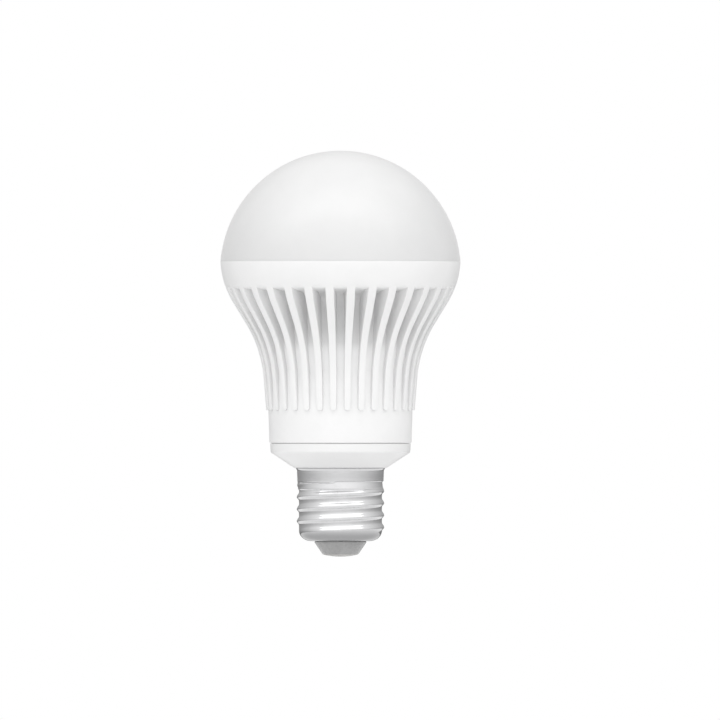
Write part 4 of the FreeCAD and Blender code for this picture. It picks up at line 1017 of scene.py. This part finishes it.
def polyesterTape():
    # yellow polyester tape wound over copper: glossy film, its edge a fine line every turn of 2.4 mm, and the
    # wire's ridges every 0.3 mm pressing through
    skin = surface(
        "polyester tape", "#DFC046", "#CFA92F", (0.18, 0.3), mottle=2.2, grain=0.6, depth=0.006, IOR=1.64,
        Coat_Weight=0.4, Coat_Roughness=0.1)
    wires = addNode(skin, "TexWave", {"bands_direction": "Z", "Scale": wavesPerMm(0.3)},
                    {"Vector": skin.place})
    emboss(skin, wires.outputs["Fac"], 0.03)
    laps = addNode(skin, "TexWave", {"bands_direction": "Z", "wave_profile": "SAW", "Scale": wavesPerMm(2.4)},
                   {"Vector": skin.place})
    line = addNode(skin, "MapRange", {"From Min": 0.93, "From Max": 0.98, "To Max": 0.55},
                   {"Value": laps.outputs["Fac"]})
    overlay(skin, "#8E6E1C", line)
    return skin.material


def enamelledWire():
    # copper wire under clear brown enamel, 0.35 mm thick and wound side by side: a round ridge for each turn
    skin = surface(
        "enamelled copper", "#B8612F", "#964A22", (0.2, 0.32), mottle=1.2, grain=0.3, depth=0.004,
        Metallic=1.0, Coat_Weight=0.6, Coat_Roughness=0.1, Coat_Tint=linear("#D98A4E"))
    turns = addNode(skin, "TexWave", {"bands_direction": "Z", "Scale": wavesPerMm(0.35)},
                    {"Vector": skin.place})
    emboss(skin, turns.outputs["Fac"], 0.12)
    # painted shade in the creases between the turns, where the relief is lowest
    creaseShade = addNode(skin, "MapRange", {"From Min": 0.25, "From Max": 0.05, "To Max": 0.8},
                   {"Value": turns.outputs["Fac"]})
    overlay(skin, "#4A2110", creaseShade)
    return skin.material


fuse = {
    "bandWidth": 0.7,
    # place along the resistor and colour of each band, the last one set apart
    "bands": [(0.22, "#6A3B1E"), (0.38, "#151515"), (0.54, "#1B1B1B"), (0.76, "#B98A2E")],
}


def fuseCoat():
    # flameproof lacquer on a fusible resistor: dull blue-grey with four painted value bands across it
    skin = surface(
        "flameproof lacquer", "#55849A", "#477283", (0.42, 0.58), mottle=1.5, grain=0.35, depth=0.02, IOR=1.5)
    low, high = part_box("fuse_resistor")
    along = addNode(skin, "SeparateXYZ", links={"Vector": skin.place}).outputs["X"]
    for part, hexCode in fuse["bands"]:
        middle = low.x + (high.x - low.x) * part
        band = addNode(skin, "Math", {"operation": "COMPARE", 1: middle, 2: fuse["bandWidth"] / 2 * mm},
                       {0: along})
        overlay(skin, hexCode, band)
    return skin.material


def chipCeramic():
    # multilayer ceramic chips, fired: tan and half dull, with a faint layered edge every 0.2 mm
    skin = surface(
        "fired chip ceramic", "#978569", "#7D6D55", (0.34, 0.5), mottle=0.7, grain=0.12, depth=0.004, IOR=1.7)
    layers = addNode(skin, "TexWave", {"bands_direction": "Y", "Scale": wavesPerMm(0.2)},
                     {"Vector": skin.place})
    mask = addNode(skin, "Math", {"operation": "MULTIPLY", 1: 0.2}, {0: layers.outputs["Fac"]})
    overlay(skin, "#5E503C", mask)
    return skin.material


def metalSkin(name, light, dark, roughness, grain, depth, stretch=(1, 1, 1)):
    # small metal parts, plated, drawn or cast: colour and roughness wander over about 1 mm
    return surface(
        name, light, dark, roughness, mottle=1.0, grain=grain, depth=depth, stretch=stretch,
        Metallic=1.0).material


def wirePvc(name, light, dark):
    # extruded PVC insulation: smooth, waxy, with faint flow lines along the wire
    return surface(
        name, light, dark, (0.34, 0.46), mottle=1.5, grain=0.25, depth=0.006, stretch=(1, 1, 0.15),
        IOR=1.53).material


# Which material each slot's nodes and pieces get.

def makeMaterials():
    return {
        # injection-moulded opal PC with an eroded mould face: milky and satin, and light soaks in a little
        "diffuser": finish(
            "opal polycarbonate", "#D8D8D8", "#D5D5D5", (0.3, 0.36), mottle=14, grain=0.45, depth=0.0016,
            IOR=1.58, Subsurface_Weight=0.12, Subsurface_Radius=(1.0, 0.95, 0.9), Subsurface_Scale=0.0015,
            Sheen_Weight=0.6, Sheen_Roughness=0.3),
        # a bead of white silicone sealant: rubbery, half dull, a little uneven
        "sealant": finish(
            "white silicone", "#EDEBE5", "#E2DFD7", (0.45, 0.6), mottle=1.8, grain=0.6, depth=0.03, IOR=1.41,
            Subsurface_Weight=0.1, Subsurface_Scale=0.001),
        "heat_sink_paint": whitePowderCoat(),
        # moulded PBT with a smooth mould face, a trace glossier than the painted metal above it
        "housing_plastic": finish(
            "white moulded PBT", "#E9E9E9", "#E6E6E6", (0.3, 0.38), mottle=11, grain=0.25, depth=0.0012,
            IOR=1.57),
        "shell_metal": nickelPlate(),
        # pressed insulating glass, opaque grey: smooth fired skin, small press marks and flow streaks
        "insulator_glass": finish(
            "pressed grey glass", "#9E9E9E", "#929292", (0.2, 0.34), mottle=2.4, grain=0.5, depth=0.006,
            IOR=1.52, Coat_Weight=0.2, Coat_Roughness=0.12),
        # tin solder flowed over brass: soft lumps, bright where smooth and frosted where it froze slowly
        "contact_metal": finish(
            "solder skin", "#BDBCBA", "#A09F9D", (0.26, 0.5), mottle=1.6, grain=0.7, depth=0.02,
            Metallic=1.0),
        "fibre_sheet": fishPaper(),
        # soft silicone sheet filled with ceramic powder: dull grey-blue, with pale grit every 0.3 mm
        "thermal_silicone": finish(
            "filled silicone", "#93A0A7", "#86939A", (0.6, 0.75), mottle=4, grain=0.4, depth=0.02, IOR=1.42,
            grains=("#C3CCD0", 0.3, (0.14, 0.08), 0.7)),
        "metal_core_board": whiteSolderMask(),
        # white PPA lead-frame package, moulded: bright, dead white and slightly chalky
        "led_case": finish(
            "white PPA", "#F5F5F2", "#EBEBE6", (0.4, 0.5), mottle=1.2, grain=0.12, depth=0.003, IOR=1.55),
        # silicone gel with yellow phosphor powder: wet-looking, its fine specks drawn every 0.12 mm to show
        "phosphor": finish(
            "phosphor gel", "#EBD45C", "#DDBF3E", (0.16, 0.24), mottle=0.9, grain=0.5, depth=0.01, IOR=1.42,
            Coat_Weight=0.6, Coat_Roughness=0.08, Subsurface_Weight=0.15, Subsurface_Scale=0.0004,
            grains=("#F3E58A", 0.12, (0.35, 0.2), 0.5)),
        # zinc-plated cold-headed steel: bluish silver, with fine forming marks
        "screw_steel": finish(
            "zinc-plated steel", "#C2C5C8", "#A6A8A6", (0.26, 0.4), mottle=0.9, grain=0.2, depth=0.004,
            Metallic=1.0),
        "circuit_board": laminate("green solder mask", "#245C39", "#1E4F30", "#2F7548"),
        "radio_laminate": laminate("dark solder mask", "#1F2D38", "#17222B", "#2B3E4C"),
        "capacitor_sleeve": capacitorSleeve(),
        "film_case": dippedEpoxy("ochre dipped epoxy", "#BB8433", "#A06C24"),
        # pressed and sintered ferrite with ground faces: charcoal, dull, with pores about 0.1 mm across
        "ferrite": finish(
            "sintered ferrite", "#434346", "#323234", (0.5, 0.66), mottle=1.8, grain=0.14, depth=0.01,
            IOR=2.0, grains=("#1C1C1D", 0.35, (0.16, 0.1), 0.8)),
        # black phenolic moulding powder: hard gloss with pale wood-flour specks
        "bobbin_plastic": finish(
            "black phenolic", "#242425", "#1A1A1B", (0.24, 0.36), mottle=1.6, grain=0.15, depth=0.004,
            IOR=1.6, grains=("#5A5348", 0.4, (0.1, 0.06), 0.35)),
        "winding_tape": polyesterTape(),
        "enamelled_copper": enamelledWire(),
        "fuse_coat": fuseCoat(),
        "varistor_coat": dippedEpoxy("blue dipped epoxy", "#2F68AE", "#22528F"),
        # transfer-moulded black epoxy: matte from an eroded mould, with silica specks, too fine to see, drawn
        # every 0.25 mm
        "chip_epoxy": finish(
            "moulded epoxy", "#222223", "#18181A", (0.5, 0.62), mottle=1.4, grain=0.1, depth=0.005, IOR=1.57,
            grains=("#4C4C4E", 0.25, (0.12, 0.07), 0.25)),
        "chip_ceramic": chipCeramic(),
        # hot-dipped tin: bright, with soft drips
        "tinned_lead": metalSkin("hot-dipped tin", "#CACACB", "#ABABAA", (0.2, 0.36), 0.4, 0.01),
        # black glass-filled nylon, moulded: half dull, with short fibres lying along the strip
        "header_plastic": finish(
            "glass-filled nylon", "#1D1D1E", "#131314", (0.38, 0.52), mottle=1.1, grain=0.15, depth=0.008,
            stretch=(0.3, 1, 1), IOR=1.53),
        # gold flash over nickel: warm and mirror-like, with the drawn wire's lines along each pin
        "pin_gold": metalSkin("gold flash", "#E0B65A", "#C2943A", (0.14, 0.26), 0.15, 0.003, (1, 0.1, 1)),
        # folded tin-plated can, left from rolled strip: straight fine lines along its length
        "shield_metal": metalSkin(
            "tin-plated strip", "#C6C7C4", "#AEAFAC", (0.24, 0.36), 0.12, 0.003, (0.06, 1, 1)),
        # resistance-welded nickel-plated can: bright with a faint haze
        "crystal_can": metalSkin("nickel-plated can", "#CED0D0", "#B4B5B4", (0.16, 0.3), 0.3, 0.004),
        # etched copper with an immersion gold face: slightly grainy from the foil
        "antenna_copper": metalSkin("immersion gold", "#DBA65E", "#BD8340", (0.3, 0.44), 0.14, 0.006),
        "wire_red": wirePvc("red PVC", "#B22E25", "#98241D"),
        "wire_black": wirePvc("black PVC", "#272727", "#1B1B1B"),
        "wire_brown": wirePvc("brown PVC", "#704829", "#5C3A20"),
        "wire_white": wirePvc("white PVC", "#EBEBE7", "#DEDED8"),
        # reflowed solder: bright domes with frosted grain
        "solder": metalSkin("reflowed solder", "#BFC0C0", "#9E9F9F", (0.22, 0.42), 0.35, 0.015),
    }


def dress(materials, pieces):
    # the record says which slot each node is made in; new pieces come with their slot
    for part in frame["record"]["subparts"]:
        node = frame["nodes"][part["node"]]
        node.data.materials.clear()
        node.data.materials.append(materials[part["material_slot"]])
    for piece, slot in pieces:
        piece.data.materials.clear()
        piece.data.materials.append(materials[slot])


# The floor, the light and the camera.

studio = {
    "floorHeight": -70,
    "floorRadius": 380,
    "keyWidth": 2400,
    "keyHeight": 500,
    "keyDistance": 1100,
    "keyElevation": 65,
    "keyAim": 80,
    "keyPower": 4.4,
    "evenLight": 0.8,
    "frontLight": 0.43,
    "topLight": 0.36,
    "floorLight": 0.78,
    "horizon": (-0.1, 0.12),
    "cameraLens": 1600,
    "cameraPlace": (5.87, -9616, 59.1),
}


def makeStudio():
    deselectAll()
    bpy.ops.mesh.primitive_circle_add(
        vertices=96, radius=studio["floorRadius"] * mm, fill_type="NGON",
        location=(0, 0, studio["floorHeight"] * mm))
    floor = bpy.context.object
    floor.name = floor.data.name = "floor"
    bpy.ops.object.transform_apply(location=True)
    # matt white studio board, with the faint tooth of paper
    board = surface("studio board", "#F0F0F0", "#ECECEC", (0.75, 0.85), mottle=40, grain=1.5, depth=0.01)
    floor.data.materials.append(board.material)

    # a soft box above and in front
    lift = math.radians(studio["keyElevation"])
    away = Vector((0, -math.cos(lift), math.sin(lift)))
    aim = Vector((0, 0, studio["keyAim"]))
    bpy.ops.object.light_add(
        type="AREA", location=(aim + away * studio["keyDistance"]) * mm, rotation=(math.pi / 2 - lift, 0, 0))
    key = bpy.context.object
    key.name = "softBox"
    key.data.shape = "RECTANGLE"
    key.data.size = studio["keyWidth"] * mm
    key.data.size_y = studio["keyHeight"] * mm
    key.data.energy = studio["keyPower"]

    # a white tent: brightest in front, dimmer behind, plain white where it is seen straight
    world = bpy.data.worlds.new("whiteTent")
    bpy.context.scene.world = world
    world.use_nodes = True
    tree = world.node_tree
    tree.nodes.clear()
    toward = addNode(tree, "TexCoord").outputs["Generated"]
    brighter = (0, -studio["frontLight"], studio["topLight"])
    slope = addNode(tree, "VectorMath", {"operation": "DOT_PRODUCT", 1: brighter}, {0: toward})
    level = addNode(tree, "Math", {"operation": "ADD", 1: studio["evenLight"]}, {0: slope.outputs["Value"]})
    split = addNode(tree, "SeparateXYZ", links={"Vector": toward})
    low, high = studio["horizon"]
    horizon = addNode(tree, "MapRange", {"interpolation_type": "SMOOTHSTEP", "From Min": low, "From Max": high,
                                         "To Min": studio["floorLight"]}, {"Value": split.outputs["Z"]})
    share = addNode(tree, "Math", {"operation": "MULTIPLY"}, {0: level, 1: horizon})
    tent = addNode(tree, "Background", links={"Strength": share})
    tent.inputs["Color"].default_value = (1, 1, 1, 1)
    plain = addNode(tree, "Background", {"Strength": 1.0, "Color": (1, 1, 1, 1)})
    seen = addNode(tree, "LightPath").outputs["Is Camera Ray"]
    both = addNode(tree, "MixShader", links={0: seen, 1: tent, 2: plain})
    addNode(tree, "OutputWorld", links={"Surface": both})

    deselectAll()
    bpy.ops.object.camera_add(location=Vector(studio["cameraPlace"]) * mm, rotation=(math.pi / 2, 0, 0))
    camera = bpy.context.object
    camera.data.lens = studio["cameraLens"]
    camera.data.clip_end = 100
    bpy.context.scene.camera = camera
    bpy.context.scene.view_settings.view_transform = "Standard"


print("modelling the pieces")
pieces = [
    (makeDome(), "diffuser"),
    (makeHeatSink(), "heat_sink_paint"),
    (makeHousing(), "housing_plastic"),
    (makeShell(), "shell_metal"),
    (makeInsulator(), "insulator_glass"),
    (makeContact(), "contact_metal"),
]

print("making the materials")
dress(makeMaterials(), pieces)

print("setting the studio")
makeStudio()
